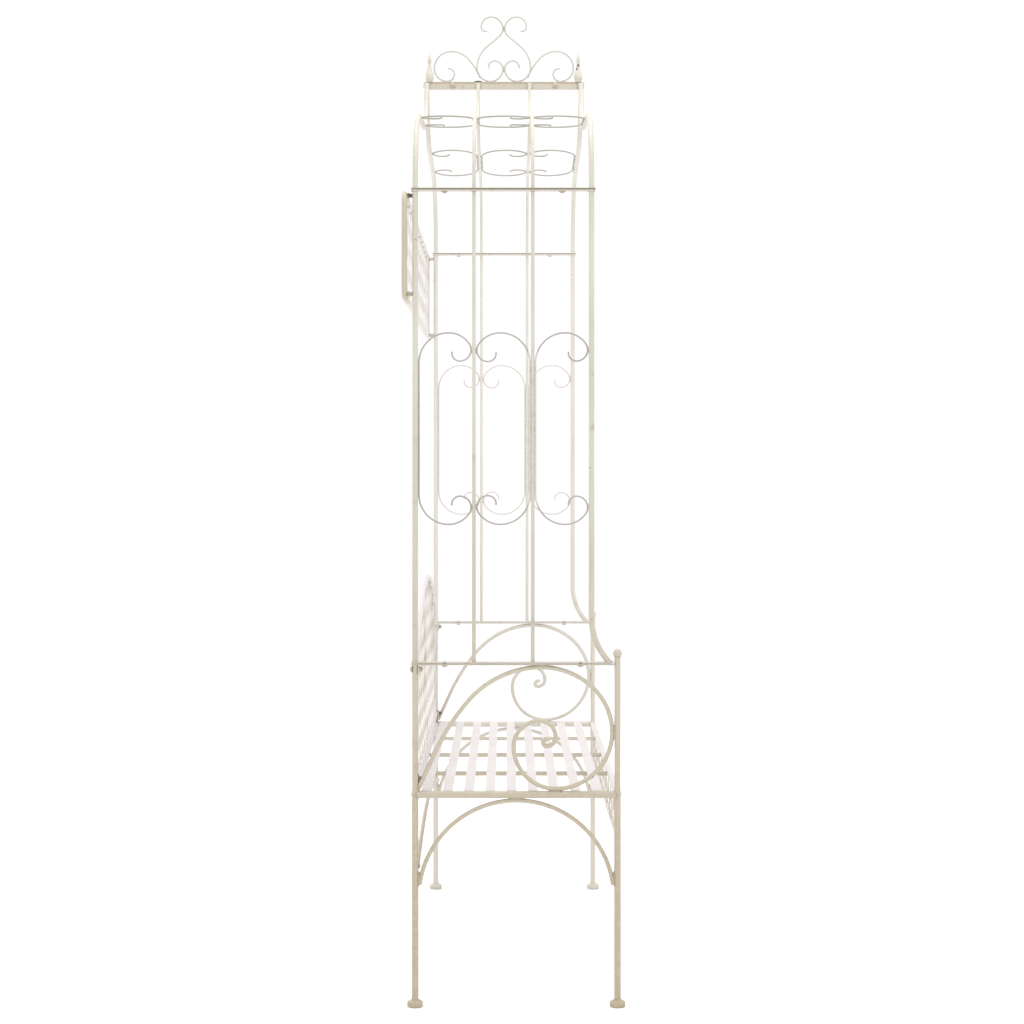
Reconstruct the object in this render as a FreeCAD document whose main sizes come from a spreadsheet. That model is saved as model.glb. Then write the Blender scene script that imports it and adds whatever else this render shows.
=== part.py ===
"""A painted iron garden bench with trellis ends, an ogee roof and a scrolled crest, in millimetres.

X runs along the bench, the front faces -Y and Z is up.
The origin is on the floor, in the middle of the whole box.
"""
import FreeCAD, Part
import math
import os
import Sketcher

Vector = FreeCAD.Vector
Rotation = FreeCAD.Rotation

# Driving sizes, in millimetres, degrees and counts
SIZES = {
    # End frames
    "frame_spacing": 1245,
    "leg_spacing": 452,
    "leg_diameter": 15,
    "arm_post_diameter": 13.5,
    "swage_length": 5,
    "tube_wall": 1.2,
    "joint_gap": 0.2,
    "front_leg_overrun": 19,
    "ball_diameter": 20,
    # Feet
    "foot_diameter": 35,
    "foot_height": 15.5,
    "foot_rim": 12.5,
    "foot_shoulder": 3,
    "foot_edge": 1.5,
    "foot_collar": 1,
    "foot_floor": 4,
    # Seat
    "seat_rail_height": 473,
    "seat_rail_diameter": 16,
    "slat_count": 9,
    "slat_width": 22.5,
    "slat_thickness": 3,
    "slat_rear_inset": 24.3,
    "slat_front_inset": 45.7,
    "cross_bar_count": 3,
    "cross_bar_height": 10,
    "cross_bar_thickness": 6,
    # Under the seat
    "leg_arch_diameter": 10,
    "leg_arch_inset": 8,
    "leg_arch_turn": 82,
    "stretcher_diameter": 10,
    "stretcher_lift": 38.86,
    "stretcher_rise": 57,
    "stretcher_inset": 5,
    # Front apron
    "apron_bottom": 366,
    "apron_bar_height": 20,
    "apron_bar_thickness": 4,
    # Lattice strips
    "strip_width": 20,
    "strip_thickness": 2,
    "strip_pitch": 112,
    # Flat bars at the arm, the trellis and the foot of the roof
    "bar_width": 16,
    "bar_thickness": 2.5,
    "bar_gap": 2,
    "bar_overhang": 9,
    "arm_height": 762.5,
    "base_bar_front_setback": 15,
    # Arm scroll, from the top forward and round to its curl, then from the top back to the rear leg;
    # its radii and rear turns are those for the clear height and sweep named first, and follow the real ones
    "arm_scroll_height": 268.6,
    "arm_scroll_sweep": 88.37,
    "arm_scroll_diameter": 10,
    "arm_scroll_brow": 165,
    "arm_scroll_front": 135,
    "arm_scroll_bend": 45,
    "arm_scroll_back": 93,
    "arm_scroll_inner": 57,
    "arm_scroll_eye": 36,
    "arm_scroll_curl": 20,
    "arm_scroll_tip": 8,
    "arm_scroll_tip_turn": 225,
    "arm_scroll_rear_turn": 49,
    "arm_scroll_bow": 500,
    "arm_scroll_bow_turn": 16,
    # Trellis
    "post_diameter": 13,
    "rod_diameter": 8.5,
    "trellis_setback": 58,
    "trellis_height": 1051.5,
    "flare_radius": 145,
    "flare_reach": 39,
    "bay_count": 3,
    "arm_bolt_ahead": 86.16,
    # C-scrolls of the trellis and the roof
    "scroll_wire": 4,
    "scroll_shoulder": 66,
    "scroll_brow_turn": 55,
    "scroll_hook": 25,
    "scroll_tip": 18,
    "scroll_tip_turn": 100,
    "trellis_scroll_length": 432,
    "trellis_scroll_rise": 521,
    "roof_scroll_length": 279,
    # Roof and ridge
    "roof_shoulder": 195,
    "roof_slope": 5,
    "roof_throat": 179,
    "roof_steepness": 78,
    "ridge_bar_height": 18.5,
    "ridge_bar_thickness": 5,
    "ridge_bar_overhang": 7,
    "ridge_bar_lift": 4,
    # Crest on the ridge; its radii are those for the reach named first, and follow the real one
    "crest_reach": 183.2,
    "crest_gap": 0.7,
    "crest_wire": 4.8,
    "heart_lobe": 34.5,
    "heart_inner": 31,
    "heart_curl": 21,
    "heart_tip": 15,
    "heart_waist": 70,
    "heart_lean": 50,
    "heart_neck": 25,
    "heart_crown": 30,
    "heart_turnback": 25,
    "heart_crown_tip": 12,
    "heart_tip_turn": 105,
    "side_scroll_brow": 59,
    "side_scroll_brow_turn": 48,
    "side_scroll_bow": 160,
    "side_scroll_bow_turn": 20,
    "side_scroll_outer": 43,
    "side_scroll_foot": 33,
    "side_scroll_curl": 18,
    "side_scroll_tip": 14,
    "spire_inset": 14,
    "spire_height": 80,
    "spire_ball": 22,
    "spire_collar": 14,
    "spire_collar_height": 4,
    "spire_neck": 7,
    "spire_bead": 11,
    "spire_bead_height": 5,
    "spire_point": 1.6,
    # Back of the seat
    "back_tube": 13.5,
    "back_apex_rise": 170,
    "back_corner": 60,
    "back_arch_angle": 30,
    "back_rise": 33,
    "back_tail": 13,
    "back_bolt_top_drop": 9.5,
    "lug_width": 20,
    "lug_thickness": 2,
    # Upper back panel behind the posts
    "panel_tube": 13,
    "panel_offset": 24,
    "panel_height": 244,
    "panel_top_drop": 5,
    "panel_corner": 20,
    "spacer_flange": 12,
    "spacer_flange_thickness": 4.5,
    "spacer_hub": 9,
    # Fasteners
    "bolt_diameter": 6,
    "bolt_clearance": 0.2,
    "bolt_head_diameter": 15.5,
    "bolt_head_height": 5,
    "bolt_end": 1,
    "back_bolt_end": 3,
    "bar_spacer_diameter": 9,
    "nut_width": 10,
    "nut_height": 5,
}

# Sizes that follow from the driving ones, in the order in which they are worked out
FITS = {
    # Places of the end frames
    "frame_x": "Dim.frame_spacing / 2",
    "rear_y": "(Dim.leg_spacing + Dim.foot_diameter / 2 - Dim.panel_offset - Dim.panel_tube / 2) / 2",
    "front_y": "Fit.rear_y - Dim.leg_spacing",
    "leg_radius": "Dim.leg_diameter / 2",
    "arm_post_radius": "Dim.arm_post_diameter / 2",
    "seat_rail_radius": "Dim.seat_rail_diameter / 2",
    "seat_rail_top": "Dim.seat_rail_height + Fit.seat_rail_radius",
    "seat_rail_underside": "Dim.seat_rail_height - Fit.seat_rail_radius",
    "front_leg_height": "Dim.arm_height + Dim.front_leg_overrun",
    "ball_seat_angle": "acos(Dim.arm_post_diameter / Dim.ball_diameter) / 1 deg",
    # Seat
    "slat_pitch": "(Dim.leg_spacing - Dim.slat_rear_inset - Dim.slat_front_inset) / (Dim.slat_count - 1)",
    "slat_drop": "Fit.seat_rail_radius - Dim.slat_thickness",
    "slat_bite": "sqrt(Fit.seat_rail_radius ^ 2 - Fit.slat_drop ^ 2)",
    "slat_half_length": "Fit.frame_x - Fit.slat_bite - Dim.joint_gap",
    "slat_underside": "Fit.seat_rail_top - Dim.slat_thickness",
    # Arches under the seat
    "leg_arch_apex": "Fit.seat_rail_underside - Dim.joint_gap - Dim.leg_arch_diameter / 2",
    "leg_arch_radius": "Dim.leg_spacing / 2 - Dim.leg_arch_inset",
    "leg_arch_foot": "Fit.leg_arch_apex - Fit.leg_arch_radius * (1 - cos(Dim.leg_arch_turn))",
    "stretcher_apex": "Fit.leg_arch_foot + Dim.stretcher_lift + Dim.stretcher_rise",
    "stretcher_radius": "(Fit.frame_x ^ 2 + Dim.stretcher_rise ^ 2) / (2 * Dim.stretcher_rise)",
    "stretcher_turn": "asin(Fit.frame_x / Fit.stretcher_radius) / 1 deg",
    # Pairs of flat bars, with spacers between them, on the arm and under the roof
    "bar_grip": "2 * Dim.bar_thickness + Dim.bar_gap",
    "base_bar_top": "Dim.arm_height + Fit.bar_grip",
    "trellis_top": "Fit.base_bar_top + Dim.trellis_height",
    "roof_foot": "Fit.trellis_top + Fit.bar_grip",
    "trellis_depth": "Dim.leg_spacing - Dim.trellis_setback",
    "front_post_y": "Fit.rear_y - Fit.trellis_depth",
    "bay": "Fit.trellis_depth / Dim.bay_count",
    "bar_length": "Fit.trellis_depth + 2 * Dim.bar_overhang",
    "arm_bar_length": "Dim.leg_spacing + Dim.bar_overhang - Fit.arm_post_radius - Dim.joint_gap",
    "base_bar_length": "Dim.leg_spacing + Dim.bar_overhang - Dim.base_bar_front_setback",
    # Arm scroll between the seat rail, the front leg and the arm bar
    "arm_scroll_top": "Dim.arm_height - Dim.joint_gap - Dim.arm_scroll_diameter / 2",
    "arm_scroll_foot": "Fit.seat_rail_top + Dim.joint_gap + Dim.arm_scroll_diameter / 2",
    "arm_scroll_reach": "Dim.leg_spacing - Fit.arm_post_radius - Dim.joint_gap - Dim.arm_scroll_diameter / 2",
    "arm_scroll_rise": "Fit.arm_scroll_top - Fit.arm_scroll_foot",
    "arm_scale": "Fit.arm_scroll_rise / Dim.arm_scroll_height",
    "arm_brow": "Dim.arm_scroll_brow * Fit.arm_scale",
    "arm_front": "Dim.arm_scroll_front * Fit.arm_scale",
    "arm_bow": "Dim.arm_scroll_bow * Fit.arm_scale",
    "arm_scroll_start": "Fit.arm_scroll_reach - Fit.arm_brow * sin(Dim.arm_scroll_bend)"
    " - Fit.arm_front * (1 - cos(Dim.arm_scroll_bend))",
    "arm_bolt_front": "Fit.arm_scroll_start + Dim.arm_bolt_ahead * Fit.arm_scale",
    "arm_lower": "Fit.arm_scroll_rise - Fit.arm_brow * (1 - cos(Dim.arm_scroll_bend))"
    " - Fit.arm_front * sin(Dim.arm_scroll_bend)",
    "arm_rear_reach": "Fit.arm_scroll_start - Fit.leg_radius",
    "arm_sweep": "2 * atan(Fit.arm_scroll_rise / Fit.arm_rear_reach) / 1 deg",
    "arm_rear_turn": "Dim.arm_scroll_rear_turn * Fit.arm_sweep / Dim.arm_scroll_sweep",
    "arm_bow_turn": "Dim.arm_scroll_bow_turn * Fit.arm_sweep / Dim.arm_scroll_sweep",
    "arm_tail_angle": "Fit.arm_rear_turn + Fit.arm_bow_turn",
    "arm_rear_run": "Fit.arm_rear_reach - Fit.arm_bow * (sin(Fit.arm_tail_angle) - sin(Fit.arm_rear_turn))",
    "arm_rear_drop": "Fit.arm_scroll_rise - Fit.arm_bow * (cos(Fit.arm_rear_turn) - cos(Fit.arm_tail_angle))",
    "arm_rear_scale": "sin(Fit.arm_rear_turn) * sin(Fit.arm_tail_angle)"
    " - cos(Fit.arm_tail_angle) * (1 - cos(Fit.arm_rear_turn))",
    "arm_rear": "(Fit.arm_rear_run * sin(Fit.arm_tail_angle)"
    " - Fit.arm_rear_drop * cos(Fit.arm_tail_angle)) / Fit.arm_rear_scale",
    "arm_tail": "(Fit.arm_rear_drop * sin(Fit.arm_rear_turn)"
    " - Fit.arm_rear_run * (1 - cos(Fit.arm_rear_turn))) / Fit.arm_rear_scale",
    # Flared foot of the trellis front post
    "flare_turn": "acos(1 - Dim.flare_reach / Dim.flare_radius) / 1 deg",
    "flare_overrun": "Dim.post_diameter / Dim.flare_radius * 180 / pi",
    "flare_straight": "Dim.trellis_height - Dim.flare_radius * sin(Fit.flare_turn)",
    # Clear widths of the bays, less the scroll wire and its gaps
    "scroll_slack": "Dim.scroll_wire + 2 * Dim.joint_gap",
    "outer_bay_scroll": "Fit.bay - (Dim.post_diameter + Dim.rod_diameter) / 2 - Fit.scroll_slack",
    "middle_bay_scroll": "Fit.bay - Dim.rod_diameter - Fit.scroll_slack",
    "post_to_wire": "(Dim.post_diameter + Dim.scroll_wire) / 2 + Dim.joint_gap",
    "rod_to_wire": "(Dim.rod_diameter + Dim.scroll_wire) / 2 + Dim.joint_gap",
    "trellis_scroll_middle": "Fit.base_bar_top + Dim.trellis_scroll_rise",
    # Ogee of the roof, from its foot to the ridge bar
    "roof_shoulder_turn": "90 - Dim.roof_slope",
    "roof_throat_turn": "Dim.roof_steepness - Dim.roof_slope",
    "roof_shoulder_run": "Dim.roof_shoulder * (1 - cos(Fit.roof_shoulder_turn))",
    "roof_shoulder_rise": "Dim.roof_shoulder * sin(Fit.roof_shoulder_turn)",
    "roof_throat_run": "Dim.roof_throat * (sin(Dim.roof_steepness) - sin(Dim.roof_slope))",
    "roof_throat_rise": "Dim.roof_throat * (cos(Dim.roof_slope) - cos(Dim.roof_steepness))",
    "roof_span": "Fit.frame_x - Dim.ridge_bar_thickness - Dim.joint_gap",
    "slope_length": "(Fit.roof_span - Fit.roof_shoulder_run - Fit.roof_throat_run) / cos(Dim.roof_slope)",
    "slope_middle_x": "Fit.frame_x - Fit.roof_shoulder_run - Fit.slope_length / 2 * cos(Dim.roof_slope)",
    "slope_middle_z": "Fit.roof_foot + Fit.roof_shoulder_rise + Fit.slope_length / 2 * sin(Dim.roof_slope)",
    "throat_top": "Fit.roof_foot + Fit.roof_shoulder_rise + Fit.slope_length * sin(Dim.roof_slope)"
    " + Fit.roof_throat_rise",
    "ridge_top": "Fit.throat_top + Dim.ridge_bar_lift",
    "ridge_bottom": "Fit.ridge_top - Dim.ridge_bar_height",
    "ridge_length": "Fit.trellis_depth + 2 * Dim.ridge_bar_overhang",
    "ridge_y": "Fit.rear_y - Fit.trellis_depth / 2",
    # Crest scrolls standing on the ridge
    "crest_slack": "1.5 * Dim.crest_wire",
    "crest_reach": "Fit.ridge_length / 2 - Dim.spire_inset - Dim.spire_bead / 2 - Dim.crest_gap",
    "crest_scale": "(Fit.crest_reach - Fit.crest_slack) / (Dim.crest_reach - Fit.crest_slack)",
    "crest_foot": "Fit.ridge_top + Dim.joint_gap + Dim.crest_wire / 2",
    "crest_half_gap": "(Dim.crest_wire + Dim.joint_gap) / 2",
    "heart_middle": "Fit.crest_half_gap + Dim.heart_inner * Fit.crest_scale",
    "heart_lobe": "Dim.heart_lobe * Fit.crest_scale",
    "heart_bends": "(Dim.heart_waist + Dim.heart_neck) * (1 - cos(Dim.heart_lean))",
    "heart_stem": "(Dim.heart_inner + Dim.heart_lobe - Fit.heart_bends) / sin(Dim.heart_lean)"
    " * Fit.crest_scale",
    "side_scroll_top": "Fit.crest_foot + (Dim.side_scroll_outer + Dim.side_scroll_foot) * Fit.crest_scale",
    "side_brow": "Dim.side_scroll_brow * Fit.crest_scale",
    "side_bow": "Dim.side_scroll_bow * Fit.crest_scale",
    "side_tail_angle": "Dim.side_scroll_brow_turn + Dim.side_scroll_bow_turn",
    "side_tail_run": "Fit.side_brow * sin(Dim.side_scroll_brow_turn)"
    " + Fit.side_bow * (sin(Fit.side_tail_angle) - sin(Dim.side_scroll_brow_turn))",
    "side_tail_drop": "Fit.side_brow * (1 - cos(Dim.side_scroll_brow_turn))"
    " + Fit.side_bow * (cos(Dim.side_scroll_brow_turn) - cos(Fit.side_tail_angle))",
    "side_touch": "Fit.heart_lobe + Dim.crest_wire / 2",
    "side_touch_drop": "Fit.crest_foot + Fit.heart_lobe - Fit.side_scroll_top + Fit.side_tail_drop",
    "side_scroll_middle": "Fit.heart_middle + Fit.side_tail_run"
    " + sqrt(Fit.side_touch ^ 2 - Fit.side_touch_drop ^ 2)",
    # Back between the rear legs
    "back_radius": "Dim.back_tube / 2",
    "back_half": "Fit.frame_x - Fit.arm_post_radius - Dim.joint_gap - Fit.back_radius",
    "back_arch": "(Fit.back_half - Dim.back_corner * (1 - sin(Dim.back_arch_angle)))"
    " / sin(Dim.back_arch_angle)",
    "back_apex": "Dim.arm_height + Dim.back_apex_rise",
    "back_spring": "Fit.back_apex - Fit.back_radius - Dim.back_corner * cos(Dim.back_arch_angle)"
    " - Fit.back_arch * (1 - cos(Dim.back_arch_angle))",
    "back_bottom": "Dim.seat_rail_height + Dim.back_rise",
    "back_foot": "Fit.back_bottom - Dim.back_tail",
    "back_inset": "Fit.back_radius + Dim.joint_gap",
    "back_bolt_top": "Dim.arm_height - Dim.back_bolt_top_drop",
    "low_lug_foot": "Dim.seat_rail_height + Dim.joint_gap"
    " + sqrt(Fit.seat_rail_radius ^ 2 - (Fit.back_radius + Dim.joint_gap) ^ 2)",
    "low_lug_height": "Fit.back_bottom + Dim.lug_width / 2 - Fit.low_lug_foot",
    "lug_y": "Fit.rear_y - Fit.arm_post_radius - Dim.joint_gap - Dim.lug_thickness",
    # Upper panel, its corners on the post centres at 45 degrees
    "panel_y": "Fit.rear_y + Dim.panel_offset",
    "panel_corner_rise": "Dim.panel_corner * (1 - cos(45))",
    "panel_half": "Fit.frame_x + Fit.panel_corner_rise",
    "panel_top": "Fit.roof_foot - Dim.panel_top_drop - Dim.panel_tube / 2",
    "panel_bottom": "Fit.panel_top - Dim.panel_height + Dim.panel_tube",
    "panel_bolt_top": "Fit.panel_top - Fit.panel_corner_rise",
    "panel_bolt_bottom": "Fit.panel_bottom + Fit.panel_corner_rise",
    "spacer_length": "Dim.panel_offset - (Dim.panel_tube + Dim.post_diameter) / 2 - 2 * Dim.joint_gap",
    # Grip of each kind of bolt: what lies between its head and its nut
    "ridge_grip": "2 * Dim.ridge_bar_thickness",
    "leg_grip": "Dim.arm_post_diameter + 2 * Dim.joint_gap + Dim.lug_thickness",
    "stud_grip": "Fit.back_radius + Dim.joint_gap + Dim.lug_thickness",
    "bolt_hole": "Dim.bolt_diameter + 2 * Dim.bolt_clearance",
}

# Directions in which flat pieces lie: local x, local y and the normal between them
FORWARD = Rotation(Vector(0, -1, 0), Vector(0, 0, 1), Vector(-1, 0, 0), "XYZ")
BACKWARD = Rotation(Vector(0, 1, 0), Vector(0, 0, 1), Vector(1, 0, 0), "XYZ")
TO_RIGHT = Rotation(Vector(1, 0, 0), Vector(0, 0, 1), Vector(0, -1, 0), "XYZ")
TO_LEFT = Rotation(Vector(-1, 0, 0), Vector(0, 0, 1), Vector(0, 1, 0), "XYZ")
UPRIGHT = Rotation()
UPSIDE_DOWN = Rotation(Vector(1, 0, 0), 180)

# Directions of drills and bolts: the way that a turned Z axis points
FORWARD_DRILL = Rotation(Vector(0, 0, 1), Vector(0, -1, 0))
SIDEWAYS_DRILL = Rotation(Vector(0, 0, 1), Vector(1, 0, 0))
HEAD_AT_REAR = Rotation(Vector(0, 0, 1), Vector(0, 1, 0))
HEAD_AT_LEFT = Rotation(Vector(0, 0, 1), Vector(-1, 0, 0))

SIDES = {"left": -1, "right": 1}

doc = FreeCAD.newDocument("GardenBench")
sheet = doc.addObject("Spreadsheet::Sheet", "Dim")
fit = doc.addObject("App::VarSet", "Fit")
nodes = []


def fill_sheet():
    """Write the driving sizes to the sheet, and bind the sizes that follow from them."""
    for row, (name, size) in enumerate(SIZES.items(), 1):
        sheet.set(f"A{row}", name)
        sheet.set(f"B{row}", str(size))
        sheet.setAlias(f"B{row}", name)
    doc.recompute()
    for name, formula in FITS.items():
        fit.addProperty("App::PropertyFloat", name)
        fit.setExpression(name, formula.replace("Fit.", ""))
        doc.recompute([fit])


def value(formula):
    """Work out a formula of the sheet's sizes."""
    return float(fit.evalExpression(str(formula)))


def minus(formula):
    """The formula with its sign turned."""
    return f"-({formula})"


def add(kind, name, **formulas):
    """Add an object to the document, with sizes bound to formulas."""
    piece = doc.addObject(kind, name)
    for size, formula in formulas.items():
        piece.setExpression(size, formula)
    return piece


def place(piece, x, y, z, rotation=UPRIGHT):
    """Put a piece at a point given by three formulas."""
    piece.Placement.Rotation = rotation
    for axis, formula in zip("xyz", (x, y, z)):
        piece.setExpression(f"Placement.Base.{axis}", str(formula))
    return piece


def keep(piece, label):
    """Name a finished piece as a node of the assembly."""
    piece.Label = label
    nodes.append(piece)
    return piece


def group(name, pieces):
    """Hold several pieces together without joining them."""
    together = doc.addObject("Part::Compound", name)
    together.Links = pieces
    return together


def cut(name, base, tool):
    """Take one shape away from another."""
    rest = doc.addObject("Part::Cut", name)
    rest.Base = base
    rest.Tool = tool
    return rest


def copy(piece, x, y, z, rotation=UPRIGHT):
    """A linked copy of a piece at another place."""
    link = doc.addObject("App::Link", piece.Name + "_copy")
    link.LinkedObject = piece
    return place(link, x, y, z, rotation)


def new_sketch(body, name, plane="XY_Plane"):
    """A sketch on one of the body's own origin planes."""
    sketch = body.newObject("Sketcher::SketchObject", name)
    support = [face for face in body.Origin.OriginFeatures if face.Role == plane]
    sketch.AttachmentSupport = [(support[0], "")]
    sketch.MapMode = "FlatFace"
    return sketch


def hold(sketch, formula, kind, *where):
    """Add a dimension to a sketch and bind it to a formula."""
    turned = kind == "Angle"
    size = math.radians(value(formula)) if turned else value(formula)
    index = sketch.addConstraint(Sketcher.Constraint(kind, *where, size))
    sketch.setExpression(f"Constraints[{index}]", f"({formula}) * 1 deg" if turned else f"{formula}")


def hold_point(sketch, geometry, spot, x, y):
    """Pin a point of a sketch to two formulas."""
    hold(sketch, x, "DistanceX", -1, 1, geometry, spot)
    hold(sketch, y, "DistanceY", -1, 1, geometry, spot)


def rings(sketch, *diameters):
    """Concentric circles on the sketch's origin."""
    for diameter in diameters:
        circle = Part.Circle(Vector(), Vector(0, 0, 1), value(diameter) / 2)
        index = sketch.addGeometry(circle, False)
        sketch.addConstraint(Sketcher.Constraint("Coincident", index, 3, -1, 1))
        hold(sketch, diameter, "Diameter", index)


def outline(sketch, corners):
    """A closed outline through corners of two formulas; a third one bows the side that follows it."""
    points = [Vector(value(corner[0]), value(corner[1])) for corner in corners]
    sides = []
    for index, (corner, start) in enumerate(zip(corners, points)):
        end = points[(index + 1) % len(points)]
        if len(corner) == 2:
            sides.append((sketch.addGeometry(Part.LineSegment(start, end), False), 1, 2))
            continue
        chord = end - start
        height = math.sqrt(value(corner[2]) ** 2 - (chord.Length / 2) ** 2)
        across = Vector(-chord.y, chord.x).normalize()
        centre = (start + end) / 2 + across * height
        angles = [math.atan2(point.y - centre.y, point.x - centre.x) for point in (start, end)]
        circle = Part.Circle(centre, Vector(0, 0, 1), value(corner[2]))
        sides.append((sketch.addGeometry(Part.ArcOfCircle(circle, *angles), False), 1, 2))
        hold(sketch, corner[2], "Radius", sides[-1][0])
    for index, (corner, side) in enumerate(zip(corners, sides)):
        before = sides[index - 1]
        sketch.addConstraint(Sketcher.Constraint("Coincident", before[0], before[2], side[0], side[1]))
        hold_point(sketch, side[0], side[1], corner[0], corner[1])


def trace(point, heading, steps):
    """Follow straight runs (length) and bends (radius, turn) from a point, and list their curves in order."""
    curves = []
    for step in steps:
        along = Vector(math.cos(heading), math.sin(heading))
        if len(step) == 1:
            end = point + along * value(step[0])
            curves.append((step, Part.LineSegment(point, end), 1, 2))
            point = end
            continue
        radius, turn = value(step[0]), math.radians(value(step[1]))
        side = math.copysign(1, turn)
        centre = point + Vector(-along.y, along.x) * radius * side
        first = heading - side * math.pi / 2
        span = sorted((first, first + turn))
        arc = Part.ArcOfCircle(Part.Circle(centre, Vector(0, 0, 1), radius), *span)
        curves.append((step, arc, 1, 2) if turn > 0 else (step, arc, 2, 1))
        heading += turn
        out = Vector(math.cos(first + turn), math.sin(first + turn))
        point = centre + out * radius
    return curves


def course(sketch, anchor, heading, ahead, behind=()):
    """Draw a smooth run of straights and bends both ways from an anchor point, all sizes bound."""
    point = Vector(value(anchor[0]), value(anchor[1]))
    direction = math.radians(heading)
    forward = trace(point, direction, ahead)
    back = trace(point, direction + math.pi, behind)
    run = [(step, curve, last, first) for step, curve, first, last in reversed(back)] + forward
    laid = []
    for step, curve, first, last in run:
        index = sketch.addGeometry(curve, False)
        if laid:
            sketch.addConstraint(Sketcher.Constraint("Tangent", laid[-1][0], laid[-1][2], index, first))
        if len(step) == 1:
            hold(sketch, step[0], "Distance", index)
        else:
            hold(sketch, step[0], "Radius", index)
            hold(sketch, f"abs({step[1]})", "Angle", index)
        laid.append((index, first, last))
    index, first, last = laid[len(back)]
    if len(ahead[0]) == 1:
        hold_point(sketch, index, first, *anchor)
        hold(sketch, heading, "Angle", index)
        return laid
    side = math.copysign(1, value(ahead[0][1]))
    across, along = round(-side * math.sin(direction)), round(side * math.cos(direction))
    radius = ahead[0][0]
    centre = (f"{anchor[0]} + {across} * ({radius})", f"{anchor[1]} + {along} * ({radius})")
    hold_point(sketch, index, 3, *centre)
    if along:
        hold(sketch, anchor[0], "DistanceX", -1, 1, index, first)
    else:
        hold(sketch, anchor[1], "DistanceY", -1, 1, index, first)
    return laid


def bent(name, diameters, anchor, heading, ahead, behind=()):
    """A rod, or a tube where two diameters are given, bent along a course in the body's own XY plane."""
    body = doc.addObject("PartDesign::Body", name)
    spine = new_sketch(body, name + "_course")
    laid = course(spine, anchor, heading, ahead, behind)
    doc.recompute()
    section = body.newObject("Sketcher::SketchObject", name + "_section")
    section.AttachmentSupport = [(spine, "Edge1")]
    section.MapMode = "NormalToEdge"
    section.MapPathParameter = 0 if laid[0][1] == 1 else 1
    rings(section, *diameters)
    doc.recompute()
    pipe = body.newObject("PartDesign::AdditivePipe", name + "_pipe")
    pipe.Profile = section
    pipe.Spine = (spine, [""])
    return body


def tube(name, diameters, length):
    """A straight rod or tube along the body's own Z axis."""
    body = doc.addObject("PartDesign::Body", name)
    section = new_sketch(body, name + "_section")
    rings(section, *diameters)
    pad = body.newObject("PartDesign::Pad", name + "_pad")
    pad.Profile = section
    pad.setExpression("Length", length)
    return body


def turned(name, corners):
    """A piece turned about the Z axis from an outline of radius and height."""
    body = doc.addObject("PartDesign::Body", name)
    profile = new_sketch(body, name + "_profile", "XZ_Plane")
    outline(profile, corners)
    spin = body.newObject("PartDesign::Revolution", name + "_turn")
    spin.Profile = profile
    spin.ReferenceAxis = (profile, ["V_Axis"])
    return body


def bored(diameter):
    """The two diameters of a tube with the common wall."""
    return (diameter, f"{diameter} - 2 * Dim.tube_wall")


def hole(x, y, z, rotation, depth):
    """A cutter for one bolt hole, its axis along the turned Z and its middle at the point."""
    drill = add("Part::Cylinder", "hole", Radius="Fit.bolt_hole / 2", Height=depth)
    shift = rotation.multVec(Vector(0, 0, 1))
    start = [f"{spot} - ({depth}) / 2 * {part}" for spot, part in zip((x, y, z), shift)]
    return place(drill, *start, rotation)


def flat_bar(name, x, y, z, width, length, height):
    """A flat bar: centred on x, running forward from y, standing on z."""
    bar = add("Part::Box", name, Length=width, Width=length, Height=height)
    return place(bar, f"{x} - ({width}) / 2", f"{y} - ({length})", z)


def make_legs(side, x):
    """The two legs of one end, swaged down to arm posts above the seat, with holes for the back's bolts."""
    swage = "Fit.seat_rail_top"
    inner, inner_post = "Fit.leg_radius - Dim.tube_wall", "Fit.arm_post_radius - Dim.tube_wall"
    tops = {"rear": "Dim.arm_height", "front": "Fit.front_leg_height"}
    for end, top in tops.items():
        leg = turned(f"{end}_leg_{side}_tube", [
            (inner, "Dim.foot_floor"),
            ("Fit.leg_radius", "Dim.foot_floor"),
            ("Fit.leg_radius", swage),
            ("Fit.arm_post_radius", f"{swage} + Dim.swage_length"),
            ("Fit.arm_post_radius", top),
            (inner_post, top),
            (inner_post, f"{swage} + Dim.swage_length"),
            (inner, swage),
        ])
        place(leg, x, f"Fit.{end}_y", 0)
        if end == "rear":
            drill = hole(x, "Fit.rear_y", "Fit.back_bolt_top", FORWARD_DRILL, "2 * Dim.leg_diameter")
            leg = cut(f"rear_leg_{side}_drilled", leg, drill)
        keep(leg, f"{end}_leg_{side}")


def upright(name, radius, x, y):
    """A cutter that shapes the end of a rail or a rod to one upright tube, with the gap of a joint."""
    post = add("Part::Cylinder", name, Radius=f"{radius} + Dim.joint_gap", Height="Dim.arm_height")
    return place(post, x, y, 0)


def leg_cutters(name, x, radius):
    """Cutters that shape the ends of rails and rods to the two legs of one end."""
    legs = [upright(name, radius, x, y) for y in ("Fit.rear_y", "Fit.front_y")]
    return group(f"{name}_pair", legs)


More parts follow.
